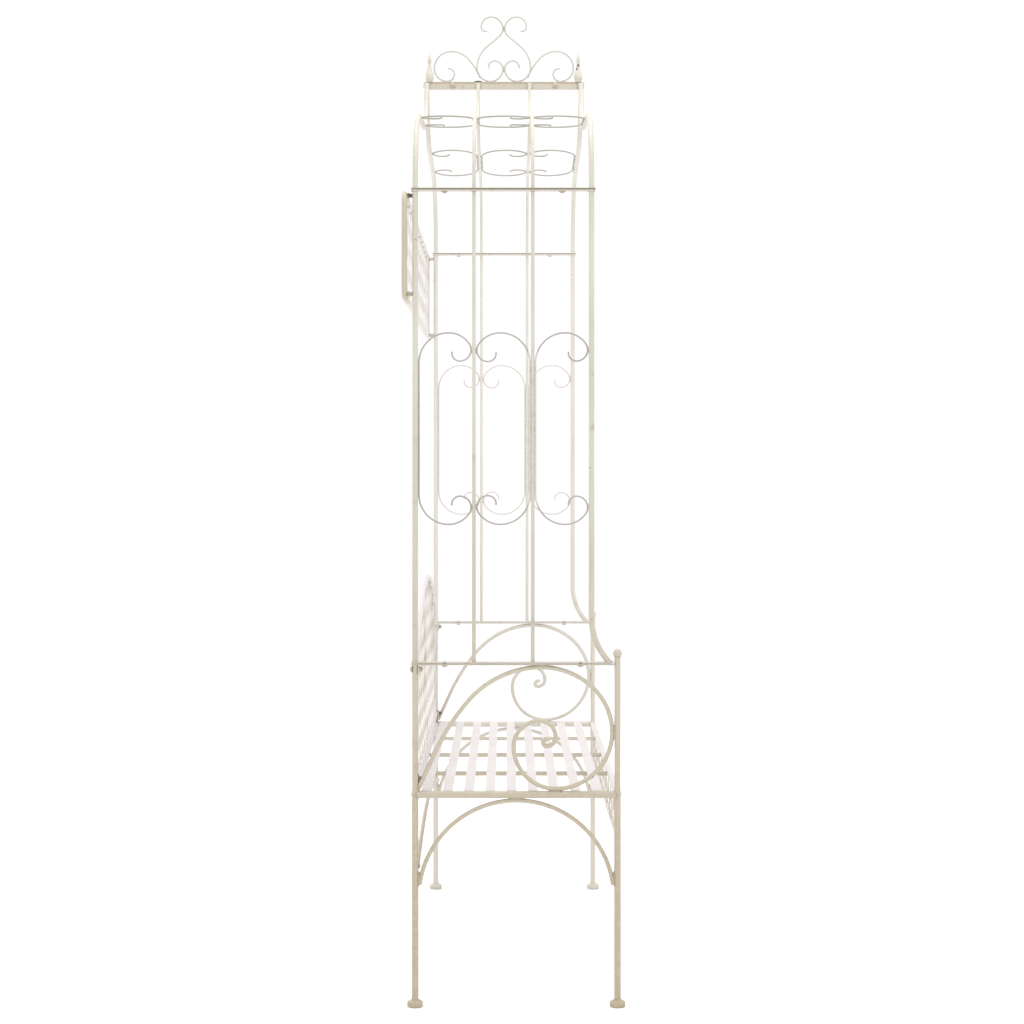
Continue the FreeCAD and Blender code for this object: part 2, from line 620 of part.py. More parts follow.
def make_end_frame(side, x):
    """Seat rail, under-seat arch, arm scroll and arm bar of one end."""
    lower = leg_cutters(f"lower_leg_{side}", x, "Fit.leg_radius")
    upper = leg_cutters(f"upper_leg_{side}", x, "Fit.arm_post_radius")

    rail_length = "Dim.leg_spacing - Fit.leg_radius"
    rail = tube(f"seat_side_rail_{side}_tube", bored("Dim.seat_rail_diameter"), rail_length)
    place(rail, x, "Fit.rear_y - Fit.leg_radius / 2", "Dim.seat_rail_height", FORWARD_DRILL)
    corners = [lower]
    for y in ("Fit.rear_y", "Fit.front_y"):
        long_rail = add("Part::Cylinder", f"long_rail_{side}", Height="Dim.frame_spacing",
                        Radius="Fit.seat_rail_radius + Dim.joint_gap")
        corners.append(place(long_rail, "-Fit.frame_x", y, "Dim.seat_rail_height", SIDEWAYS_DRILL))
    mitre = group(f"seat_corners_{side}", corners)
    keep(cut(f"seat_side_rail_{side}_coped", rail, mitre), f"seat_side_rail_{side}")

    half_arch = ("Fit.leg_arch_radius", minus("Dim.leg_arch_turn"))
    other_half = ("Fit.leg_arch_radius", "Dim.leg_arch_turn")
    arch = bent(
        f"leg_arch_{side}_rod",
        ("Dim.leg_arch_diameter",),
        ("Dim.leg_spacing / 2", "Fit.leg_arch_apex"),
        0,
        [half_arch],
        [other_half],
    )
    place(arch, x, "Fit.rear_y", 0, FORWARD)
    keep(cut(f"leg_arch_{side}_coped", arch, lower), f"leg_arch_{side}")

    bend, quarter = minus("Dim.arm_scroll_bend"), "-90"
    scroll = bent(
        f"arm_scroll_{side}_rod",
        ("Dim.arm_scroll_diameter",),
        ("Fit.arm_scroll_start", "Fit.arm_scroll_top"),
        0,
        [
            ("Fit.arm_brow", bend),
            ("Fit.arm_front", bend),
            ("Fit.arm_lower", quarter),
            ("Dim.arm_scroll_back * Fit.arm_scale", quarter),
            ("Dim.arm_scroll_inner * Fit.arm_scale", quarter),
            ("Dim.arm_scroll_eye * Fit.arm_scale", quarter),
            ("Dim.arm_scroll_curl * Fit.arm_scale", quarter),
            ("Dim.arm_scroll_tip * Fit.arm_scale", minus("Dim.arm_scroll_tip_turn")),
        ],
        [
            ("Fit.arm_rear", "Fit.arm_rear_turn"),
            ("Fit.arm_bow", "Fit.arm_bow_turn"),
            ("Fit.arm_tail",),
        ],
    )
    place(scroll, x, "Fit.rear_y", 0, FORWARD)
    keep(cut(f"arm_scroll_{side}_coped", scroll, upper), f"arm_scroll_{side}")

    bar = flat_bar(
        f"arm_bar_{side}_bar", x, "Fit.rear_y + Dim.bar_overhang", "Dim.arm_height",
        "Dim.bar_width", "Fit.arm_bar_length", "Dim.bar_thickness",
    )
    keep(cut(f"arm_bar_{side}_drilled", bar, arm_bolt_holes(side, x)), f"arm_bar_{side}")


def arm_bolt_spots():
    """How far in front of the rear leg the two bolts of the arm stand."""
    return ("Fit.bay / 2", "Fit.arm_bolt_front")


def arm_bolt_holes(side, x):
    """The holes for the bolts that hold the trellis on the arm."""
    middle = "Dim.arm_height + Fit.bar_grip / 2"
    depth = "2 * Fit.bar_grip"
    holes = [hole(x, f"Fit.rear_y - {spot}", middle, UPRIGHT, depth) for spot in arm_bolt_spots()]
    return group(f"arm_holes_{side}", holes)


def roof_bolt_spots():
    """How far in front of the rear post the bolts stand that hold the roof: the middles of the outer bays."""
    return ("Fit.bay / 2", "(Fit.trellis_depth - Fit.bay / 2)")


def roof_bolt_holes(side, x):
    """The holes for the bolts that hold the roof on the trellis."""
    middle = "Fit.trellis_top + Fit.bar_grip / 2"
    depth = "2 * Fit.bar_grip"
    holes = [hole(x, f"Fit.rear_y - {spot}", middle, UPRIGHT, depth) for spot in roof_bolt_spots()]
    return group(f"roof_holes_{side}", holes)


def c_scroll(name, width, length):
    """One C-scroll: a straight back with a hooked curl at each end, all on one side."""
    hook_in = "Dim.scroll_hook * (1 - sin(Dim.scroll_brow_turn))"
    brow = f"({width} - Dim.scroll_shoulder - {hook_in}) / sin(Dim.scroll_brow_turn)"
    curl = [
        ("Dim.scroll_shoulder", "-90"),
        (brow, minus("Dim.scroll_brow_turn")),
        ("Dim.scroll_hook", minus("180 - Dim.scroll_brow_turn")),
        ("Dim.scroll_tip", minus("Dim.scroll_tip_turn")),
    ]
    other_curl = [(radius, minus(turn)) for radius, turn in curl]
    half_back = (f"({length} - Dim.scroll_wire) / 2 - Dim.scroll_shoulder",)
    ahead, behind = [half_back] + curl, [half_back] + other_curl
    return bent(name, ("Dim.scroll_wire",), ("0", "0"), 90, ahead, behind)


def inner_rod_spots():
    """How far in front of the rear post the inner rods stand."""
    return ("Fit.bay", "2 * Fit.bay")


def make_trellis(side, x):
    """One trellis: two flat bars, two posts, two rods and three C-scrolls."""
    name = f"trellis_base_bar_{side}"
    base = flat_bar(
        f"{name}_bar", x, "Fit.rear_y + Dim.bar_overhang", "Fit.base_bar_top - Dim.bar_thickness",
        "Dim.bar_width", "Fit.base_bar_length", "Dim.bar_thickness",
    )
    keep(cut(f"{name}_drilled", base, arm_bolt_holes(f"{side}_base", x)), name)
    top = flat_bar(
        f"trellis_top_bar_{side}_bar", x, "Fit.rear_y + Dim.bar_overhang", "Fit.trellis_top",
        "Dim.bar_width", "Fit.bar_length", "Dim.bar_thickness",
    )
    keep(cut(f"trellis_top_bar_{side}_drilled", top, roof_bolt_holes(side, x)), f"trellis_top_bar_{side}")

    rear = tube(f"trellis_rear_post_{side}_tube", bored("Dim.post_diameter"), "Dim.trellis_height")
    place(rear, x, "Fit.rear_y", "Fit.base_bar_top")
    drills = [
        hole(x, "Fit.rear_y + Dim.post_diameter / 2", height, FORWARD_DRILL, "Dim.post_diameter")
        for height in ("Fit.panel_bolt_top", "Fit.panel_bolt_bottom")
    ]
    drilled = cut(f"trellis_rear_post_{side}_drilled", rear, group(f"panel_holes_{side}", drills))
    keep(drilled, f"trellis_rear_post_{side}")

    past_bar = "Fit.flare_turn + Fit.flare_overrun"
    front = bent(
        f"trellis_front_post_{side}_tube",
        bored("Dim.post_diameter"),
        ("Fit.trellis_depth", "Fit.trellis_top"),
        -90,
        [("Fit.flare_straight",), ("Dim.flare_radius", past_bar)],
    )
    place(front, x, "Fit.rear_y", 0, FORWARD)
    floor = flat_bar(
        f"trellis_floor_{side}", x, "Fit.rear_y - Fit.trellis_depth", "Dim.arm_height - Dim.bar_width",
        "2 * Dim.bar_width", "Dim.leg_spacing / 2", "Dim.bar_width + Fit.bar_grip",
    )
    keep(cut(f"trellis_front_post_{side}_seated", front, floor), f"trellis_front_post_{side}")

    rods = []
    for spot in inner_rod_spots():
        rod = tube(f"trellis_rod_{side}", ("Dim.rod_diameter",), "Dim.trellis_height")
        rods.append(place(rod, x, f"Fit.rear_y - {spot}", "Fit.base_bar_top"))
    keep(group(f"trellis_rods_{side}_pair", rods), f"trellis_rods_{side}")

    bays = {
        "rear": ("Fit.outer_bay_scroll", "Fit.rear_y - Fit.post_to_wire", FORWARD),
        "middle": ("Fit.middle_bay_scroll", "Fit.rear_y - 2 * Fit.bay + Fit.rod_to_wire", BACKWARD),
        "front": ("Fit.outer_bay_scroll", "Fit.rear_y - 2 * Fit.bay - Fit.rod_to_wire", FORWARD),
    }
    scrolls = []
    for bay, (width, y, facing) in bays.items():
        scroll = c_scroll(f"trellis_scroll_{bay}_{side}", width, "Dim.trellis_scroll_length")
        scrolls.append(place(scroll, x, y, "Fit.trellis_scroll_middle", facing))
    keep(group(f"trellis_scrolls_{side}_group", scrolls), f"trellis_scrolls_{side}")


def ogee(name, diameters):
    """A roof tube or rod: up from its foot, over the shoulder, along the slope and up to the ridge."""
    return bent(
        name,
        diameters,
        ("0", "Fit.roof_foot"),
        90,
        [
            ("Dim.roof_shoulder", minus("Fit.roof_shoulder_turn")),
            ("Fit.slope_length",),
            ("Dim.roof_throat", "Fit.roof_throat_turn"),
        ],
    )


def make_roof_half(side, sign, x, ridge_block):
    """One half of the roof: its base bar, tubes, rods, C-scrolls and ridge bar."""
    toward_ridge = TO_RIGHT if sign < 0 else TO_LEFT
    name = f"roof_base_bar_{side}"
    base = flat_bar(
        f"{name}_bar", x, "Fit.rear_y + Dim.bar_overhang", "Fit.roof_foot - Dim.bar_thickness",
        "Dim.bar_width", "Fit.bar_length", "Dim.bar_thickness",
    )
    keep(cut(f"{name}_drilled", base, roof_bolt_holes(f"{side}_base", x)), name)

    for end, y in {"rear": "Fit.rear_y", "front": "Fit.front_post_y"}.items():
        name = f"roof_{end}_tube_{side}"
        pipe = place(ogee(f"{name}_bent", bored("Dim.post_diameter")), x, y, 0, toward_ridge)
        keep(cut(f"{name}_trimmed", pipe, ridge_block), name)
    rods = []
    for spot in inner_rod_spots():
        rod = ogee(f"roof_rod_{side}_bent", ("Dim.rod_diameter",))
        place(rod, x, f"Fit.rear_y - {spot}", 0, toward_ridge)
        rods.append(cut(f"roof_rod_{side}_trimmed", rod, ridge_block))
    keep(group(f"roof_rods_{side}_pair", rods), f"roof_rods_{side}")

    slope = math.radians(value("Dim.roof_slope"))
    uphill = Vector(-sign * math.cos(slope), 0, math.sin(slope))
    bays = {
        "rear": ("Fit.outer_bay_scroll", "Fit.rear_y - Fit.bay + Fit.rod_to_wire", Vector(0, 1, 0)),
        "middle": ("Fit.middle_bay_scroll", "Fit.rear_y - Fit.bay - Fit.rod_to_wire", Vector(0, -1, 0)),
        "front": ("Fit.outer_bay_scroll", "Fit.front_post_y + Fit.post_to_wire", Vector(0, 1, 0)),
    }
    scrolls = []
    for bay, (width, y, across) in bays.items():
        lying = Rotation(across, uphill, across.cross(uphill), "XYZ")
        scroll = c_scroll(f"roof_scroll_{bay}_{side}", width, "Dim.roof_scroll_length")
        scrolls.append(place(scroll, f"{sign} * Fit.slope_middle_x", y, "Fit.slope_middle_z", lying))
    keep(group(f"roof_scrolls_{side}_group", scrolls), f"roof_scrolls_{side}")

    bar = flat_bar(
        f"ridge_bar_{side}_bar", f"{sign} * Dim.ridge_bar_thickness / 2",
        "Fit.ridge_y + Fit.ridge_length / 2", "Fit.ridge_bottom",
        "Dim.ridge_bar_thickness", "Fit.ridge_length", "Dim.ridge_bar_height",
    )
    drills = [
        hole("0", f"Fit.rear_y - {spot}", "Fit.ridge_bottom + Dim.ridge_bar_height / 2", SIDEWAYS_DRILL,
             "6 * Dim.ridge_bar_thickness")
        for spot in roof_bolt_spots()
    ]
    keep(cut(f"ridge_bar_{side}_drilled", bar, group(f"ridge_holes_{side}", drills)), f"ridge_bar_{side}")


def make_crest():
    """The heart scrolls, the side scrolls and the spires that stand on the ridge."""
    hearts, side_scrolls, spires = [], [], []
    quarter, tip_turn = "90", "Dim.heart_tip_turn"

    def sized(name):
        """A radius of the crest, as it is on the real ridge."""
        return f"Dim.{name} * Fit.crest_scale"

    for end, facing in {"rear": FORWARD, "front": BACKWARD}.items():
        heart = bent(
            f"heart_{end}",
            ("Dim.crest_wire",),
            (minus("Fit.heart_middle"), "Fit.crest_foot"),
            0,
            [
                (sized("heart_inner"), quarter),
                (sized("heart_curl"), quarter),
                (sized("heart_tip"), tip_turn),
            ],
            [
                (sized("heart_lobe"), minus(quarter)),
                (sized("heart_waist"), minus("Dim.heart_lean")),
                ("Fit.heart_stem",),
                (sized("heart_neck"), "Dim.heart_lean"),
                (sized("heart_crown"), quarter),
                (sized("heart_turnback"), quarter),
                (sized("heart_crown_tip"), tip_turn),
            ],
        )
        hearts.append(place(heart, "0", "Fit.ridge_y", 0, facing))
        side_scroll = bent(
            f"side_scroll_{end}",
            ("Dim.crest_wire",),
            (minus("Fit.side_scroll_middle"), "Fit.side_scroll_top"),
            0,
            [
                ("Fit.side_brow", minus("Dim.side_scroll_brow_turn")),
                ("Fit.side_bow", minus("Dim.side_scroll_bow_turn")),
            ],
            [
                (sized("side_scroll_outer"), quarter),
                (sized("side_scroll_foot"), quarter),
                (sized("side_scroll_curl"), quarter),
                (sized("side_scroll_tip"), tip_turn),
            ],
        )
        place(side_scroll, "0", "Fit.ridge_y", 0, facing)
        lobe = add("Part::Cylinder", f"lobe_{end}", Height="4 * Dim.crest_wire",
                   Radius="Fit.side_touch + Dim.joint_gap")
        across = f"Fit.ridge_y + {-facing.multVec(Vector(1, 0, 0)).y} * Fit.heart_middle"
        place(lobe, "-2 * Dim.crest_wire", across, "Fit.crest_foot + Fit.heart_lobe", SIDEWAYS_DRILL)
        side_scrolls.append(cut(f"side_scroll_{end}_coped", side_scroll, lobe))
    ball_middle = "Dim.spire_collar_height + sqrt(Dim.spire_ball ^ 2 - Dim.spire_collar ^ 2) / 2"
    ball_top = f"{ball_middle} + sqrt(Dim.spire_ball ^ 2 - Dim.spire_neck ^ 2) / 2"
    spire = turned("spire", [
        ("0", "0"),
        ("Dim.spire_collar / 2", "0"),
        ("Dim.spire_collar / 2", "Dim.spire_collar_height", "Dim.spire_ball / 2"),
        ("Dim.spire_neck / 2", ball_top),
        ("Dim.spire_bead / 2", f"{ball_top} + Dim.spire_bead_height"),
        ("Dim.spire_neck / 2", f"{ball_top} + 2 * Dim.spire_bead_height"),
        ("Dim.spire_point / 2", "Dim.spire_height"),
        ("0", "Dim.spire_height"),
    ])
    for sign in (1, -1):
        y = f"Fit.ridge_y + {sign} * (Fit.ridge_length / 2 - Dim.spire_inset)"
        spires.append(copy(spire, "0", y, "Fit.ridge_top"))
    keep(group("heart_pair", hearts), "crest_heart_scrolls")
    keep(group("side_scroll_pair", side_scrolls), "crest_side_scrolls")
    keep(group("spire_pair", spires), "spire_finials")


def leg_spots():
    """Where the four legs stand."""
    return [(f"{sign} * Fit.frame_x", y) for sign in SIDES.values() for y in ("Fit.rear_y", "Fit.front_y")]


def make_feet_and_balls():
    """A turned foot under each leg and a ball on each front leg."""
    rim = "Dim.foot_diameter / 2"
    collar = "Fit.leg_radius + Dim.foot_collar"
    socket = "Fit.leg_radius + Dim.joint_gap"
    foot = turned("foot", [
        ("0", "0"),
        (f"{rim} - Dim.foot_edge", "0"),
        (rim, "Dim.foot_edge"),
        (rim, "Dim.foot_rim - Dim.foot_shoulder", "Dim.foot_shoulder"),
        (f"{rim} - Dim.foot_shoulder", "Dim.foot_rim"),
        (collar, "Dim.foot_height"),
        (socket, "Dim.foot_height"),
        (socket, "Dim.foot_floor"),
        ("0", "Dim.foot_floor"),
    ])
    keep(group("foot_set", [copy(foot, x, y, 0) for x, y in leg_spots()]), "feet")
    balls = []
    for side, sign in SIDES.items():
        ball = add("Part::Sphere", f"ball_{side}", Radius="Dim.ball_diameter / 2",
                   Angle1="-Fit.ball_seat_angle")
        seat = "Fit.front_leg_height + Dim.ball_diameter / 2 * sin(Fit.ball_seat_angle)"
        balls.append(place(ball, f"{sign} * Fit.frame_x", "Fit.front_y", seat))
    keep(group("ball_pair", balls), "ball_finials")


def make_seat():
    """Front and rear rails, cross bars and slats."""
    cutters = group("rail_legs", [upright("rail_leg", "Fit.leg_radius", x, y) for x, y in leg_spots()])
    rail_length = "Dim.frame_spacing - Fit.leg_radius"
    rail_end = "-Fit.frame_x + Fit.leg_radius / 2"
    for end in ("front", "rear"):
        rail = tube(f"seat_{end}_rail_tube", bored("Dim.seat_rail_diameter"), rail_length)
        place(rail, rail_end, f"Fit.{end}_y", "Dim.seat_rail_height", SIDEWAYS_DRILL)
        keep(cut(f"seat_{end}_rail_coped", rail, cutters), f"seat_{end}_rail")

    bars = []
    spaces = int(value("Dim.cross_bar_count")) + 1
    for index in range(1, spaces):
        x = f"Dim.frame_spacing * ({index} / {spaces} - 1 / 2)"
        bars.append(flat_bar(
            "cross_bar", x, "Fit.rear_y - Fit.seat_rail_radius - Dim.joint_gap",
            "Fit.slat_underside - Dim.cross_bar_height", "Dim.cross_bar_thickness",
            "Dim.leg_spacing - Dim.seat_rail_diameter - 2 * Dim.joint_gap", "Dim.cross_bar_height",
        ))
    keep(group("cross_bar_set", bars), "seat_cross_bars")

    slats = []
    for index in range(int(value("Dim.slat_count"))):
        rear_edge = f"Fit.rear_y - Dim.slat_rear_inset + Dim.slat_width / 2 - {index} * Fit.slat_pitch"
        slats.append(flat_bar(
            "slat", "0", rear_edge, "Fit.slat_underside",
            "2 * Fit.slat_half_length", "Dim.slat_width", "Dim.slat_thickness",
        ))
    keep(group("slat_set", slats), "seat_slats")


def lattice(name, y, bottom, top, half_length, inside):
    """Two layers of slanting strips, face to face, trimmed to the space that they fill."""
    rise = f"({top} - ({bottom}))"
    reach = f"1.5 * {rise}"
    count = math.ceil(2 * (value(half_length) + value(rise)) / value("Dim.strip_pitch") / 2)
    strips = []
    for lean in (1, -1):
        turn = Rotation(Vector(0, 1, 0), -45 * lean)
        corner = turn.multVec(Vector(0, 0, -0.5))
        along = turn.multVec(Vector(-0.5, 0, 0))
        layer = f"{y} - Dim.strip_thickness" if lean > 0 else y
        for index in range(-count, count + 1):
            strip = add("Part::Box", "strip", Length=reach, Width="Dim.strip_thickness",
                        Height="Dim.strip_width")
            middle = f"{index} * Dim.strip_pitch"
            x = f"{middle} + {along.x} * {reach} + {corner.x} * Dim.strip_width"
            z = f"({bottom} + {top}) / 2 + {along.z} * {reach} + {corner.z} * Dim.strip_width"
            strips.append(place(strip, x, layer, z, turn))
    trimmed = []
    for index, strip in enumerate(strips):
        piece = doc.addObject("Part::Common", f"{name}_strip")
        piece.Base = strip
        piece.Tool = inside
        trimmed.append(piece)
    doc.recompute()
    return group(name, [piece for piece in trimmed if piece.Shape.Volume > 1])


def make_apron():
    """The bottom bar of the apron and the strips between it and the seat's front rail."""
    half = "Fit.frame_x - Fit.leg_radius - Dim.joint_gap"
    bar = add("Part::Box", "apron_bar", Length=f"2 * ({half})", Width="Dim.apron_bar_thickness",
              Height="Dim.apron_bar_height")
    place(bar, minus(half), "Fit.front_y - Dim.apron_bar_thickness / 2", "Dim.apron_bottom")
    keep(bar, "apron_bottom_bar")

    bottom = "Dim.apron_bottom + Dim.apron_bar_height + Dim.joint_gap"
    top = "Fit.seat_rail_underside - Dim.joint_gap"
    space = add("Part::Box", "apron_space", Length=f"2 * ({half})", Width="4 * Dim.strip_thickness",
                Height=f"{top} - ({bottom})")
    place(space, minus(half), "Fit.front_y - 2 * Dim.strip_thickness", bottom)
    keep(lattice("apron_strips", "Fit.front_y", bottom, top, half, space), "apron_lattice")


def arched_back(inset):
    """The course of the back's arched tube, moved in by a clearance."""
    corner = (f"Dim.back_corner - ({inset})", minus("90 - Dim.back_arch_angle"))
    return [
        ("Fit.back_spring - Fit.back_foot",),
        corner,
        (f"Fit.back_arch - ({inset})", minus("2 * Dim.back_arch_angle")),
        corner,
        ("Fit.back_spring - Fit.back_foot",),
    ]


def make_back():
    """The arched back: its tube, bottom rail, lattice and the lugs that its bolts go through."""
    corner = (minus("Fit.back_half"), "Fit.back_foot")
    frame = bent("back_tube_bent", bored("Dim.back_tube"), corner, 90, arched_back("0"))
    place(frame, "0", "Fit.rear_y", 0, TO_RIGHT)
    uprights = [f"{sign} * Fit.back_half" for sign in SIDES.values()]
    front_wall = "Fit.rear_y - Fit.back_radius"
    drills = [hole(x, front_wall, "Fit.back_bottom", FORWARD_DRILL, "Dim.back_tube") for x in uprights]
    keep(cut("back_tube_drilled", frame, group("back_tube_holes", drills)), "back_frame")

    rail = tube("back_rail_tube", bored("Dim.back_tube"), "2 * Fit.back_half - Fit.back_radius")
    place(rail, "-Fit.back_half + Fit.back_radius / 2", "Fit.rear_y", "Fit.back_bottom", SIDEWAYS_DRILL)
    cutters = [upright("back_upright", "Fit.back_radius", x, "Fit.rear_y") for x in uprights]
    keep(cut("back_rail_coped", rail, group("back_uprights", cutters)), "back_bottom_rail")

    space = doc.addObject("PartDesign::Body", "back_space")
    sketch = new_sketch(space, "back_space_outline")
    corner = ("-Fit.back_half + Fit.back_inset", "Fit.back_foot")
    laid = course(sketch, corner, 90, arched_back("Fit.back_inset"))
    start = Vector(value(corner[0]), value(corner[1]))
    ends = (Vector(-start.x, start.y), start)
    closing = sketch.addGeometry(Part.LineSegment(*ends), False)
    sketch.addConstraint(Sketcher.Constraint("Coincident", laid[-1][0], laid[-1][2], closing, 1))
    sketch.addConstraint(Sketcher.Constraint("Coincident", closing, 2, laid[0][0], laid[0][1]))
    pad = space.newObject("PartDesign::Pad", "back_space_pad")
    pad.Profile = sketch
    pad.setExpression("Length", "4 * Dim.strip_thickness")
    pad.Midplane = True
    place(space, "0", "Fit.rear_y", 0, TO_RIGHT)
    under = add("Part::Box", "back_under", Length="Dim.frame_spacing", Width="Dim.leg_diameter",
                Height="Fit.back_inset + Fit.back_bottom")
    place(under, "-Fit.frame_x", "Fit.rear_y - Fit.leg_radius", 0)
    inside = cut("back_inside", space, under)
    bottom = "Fit.back_bottom + Fit.back_inset"
    strips = lattice("back_strips", "Fit.rear_y", bottom, "Fit.back_apex", "Fit.back_half", inside)
    keep(strips, "back_lattice")

    lugs = []
    across, depth = "Dim.arm_post_diameter + Dim.joint_gap + Fit.back_radius", "8 * Dim.lug_thickness"
    for sign in SIDES.values():
        high = add("Part::Box", "high_lug", Length=across, Width="Dim.lug_thickness", Height="Dim.lug_width")
        middle = f"{sign} * (Fit.frame_x - Fit.back_radius / 2)"
        foot = "Dim.arm_height - Dim.joint_gap - Dim.lug_width"
        place(high, f"{middle} - ({across}) / 2", "Fit.lug_y", foot)
        drill = hole(f"{sign} * Fit.frame_x", "Fit.lug_y", "Fit.back_bolt_top", FORWARD_DRILL, depth)
        lugs.append(cut("high_lug_drilled", high, drill))
        low = add("Part::Box", "low_lug", Length="Dim.back_tube", Width="Dim.lug_thickness",
                  Height="Fit.low_lug_height")
        place(low, f"{sign} * Fit.back_half - Fit.back_radius", "Fit.lug_y", "Fit.low_lug_foot")
        drill = hole(f"{sign} * Fit.back_half", "Fit.lug_y", "Fit.back_bottom", FORWARD_DRILL, depth)
        lugs.append(cut("low_lug_drilled", low, drill))
    keep(group("lug_set", lugs), "back_lugs")


def make_stretcher():
    """The low arch between the rear legs."""
    half = ("Fit.stretcher_radius", minus("Fit.stretcher_turn"))
    other_half = ("Fit.stretcher_radius", "Fit.stretcher_turn")
    apex = ("0", "Fit.stretcher_apex")
    rod = bent("stretcher_rod", ("Dim.stretcher_diameter",), apex, 0, [half], [other_half])
    place(rod, "0", "Fit.rear_y - Dim.stretcher_inset", 0, TO_RIGHT)
    legs = [upright("stretcher_leg", "Fit.leg_radius", x, y) for x, y in leg_spots()]
    keep(cut("stretcher_coped", rod, group("stretcher_legs", legs)), "rear_stretcher")


def panel_corners():
    """The four places where the upper panel is bolted to the posts."""
    heights = ("Fit.panel_bolt_top", "Fit.panel_bolt_bottom")
    return [(f"{sign} * Fit.frame_x", height) for sign in SIDES.values() for height in heights]


def make_panel():
    """The upper back panel: a bent tube frame, its lattice, and the spacers and studs that hold it."""
    corner = ("Dim.panel_corner", "-90")
    side = ("Fit.panel_top - Fit.panel_bottom - 2 * Dim.panel_corner",)
    long = ("2 * (Fit.panel_half - Dim.panel_corner)",)
    start = (minus("Fit.panel_half"), "Fit.panel_bottom + Dim.panel_corner")
    frame = bent(
        "panel_tube_bent", bored("Dim.panel_tube"), start, 90,
        [side, corner, long, corner, side, corner, long, corner],
    )
    place(frame, "0", "Fit.panel_y", 0, TO_RIGHT)
    front_wall = "Fit.panel_y - Dim.panel_tube / 2"
    drills = [hole(x, front_wall, z, FORWARD_DRILL, "Dim.panel_tube") for x, z in panel_corners()]
    keep(cut("panel_drilled", frame, group("panel_frame_holes", drills)), "upper_panel_frame")

    inset = "Dim.panel_tube / 2 + Dim.joint_gap"
    half = f"Fit.panel_half - ({inset})"
    bottom, top = f"Fit.panel_bottom + {inset}", f"Fit.panel_top - ({inset})"
    space = add("Part::Box", "panel_space", Length=f"2 * ({half})", Width="4 * Dim.strip_thickness",
                Height=f"{top} - ({bottom})")
    place(space, minus(half), "Fit.panel_y - 2 * Dim.strip_thickness", bottom)
    keep(lattice("panel_strips", "Fit.panel_y", bottom, top, half, space), "upper_panel_lattice")

    bore, flange, hub = "Fit.bolt_hole / 2", "Dim.spacer_flange / 2", "Dim.spacer_hub / 2"
    spacer = turned("spacer", [
        (bore, "0"),
        (flange, "0"),
        (flange, "Dim.spacer_flange_thickness"),
        (hub, "Dim.spacer_flange_thickness"),
        (hub, "Fit.spacer_length"),
        (bore, "Fit.spacer_length"),
    ])
    seat = f"{front_wall} - Dim.joint_gap"
    spacers = [copy(spacer, x, seat, z, FORWARD_DRILL) for x, z in panel_corners()]
    keep(group("spacer_set", spacers), "upper_panel_spacers")
    stud = tube("panel_stud", ("Dim.bolt_diameter",), "Dim.panel_offset")
    studs = [copy(stud, x, "Fit.panel_y", z, FORWARD_DRILL) for x, z in panel_corners()]
    keep(group("panel_stud_set", studs), "upper_panel_studs")


def bolt(name, length):
    """A domed bolt along Z: the seat of its head at zero, its shank reaching down."""
    radius = "(Dim.bolt_head_height / 2 + Dim.bolt_head_diameter ^ 2 / (8 * Dim.bolt_head_height))"
    return turned(name, [
        ("0", minus(length)),
        ("Dim.bolt_diameter / 2", minus(length)),
        ("Dim.bolt_diameter / 2", "0"),
        ("Dim.bolt_head_diameter / 2", "0", radius),
        ("0", "Dim.bolt_head_height"),
    ])


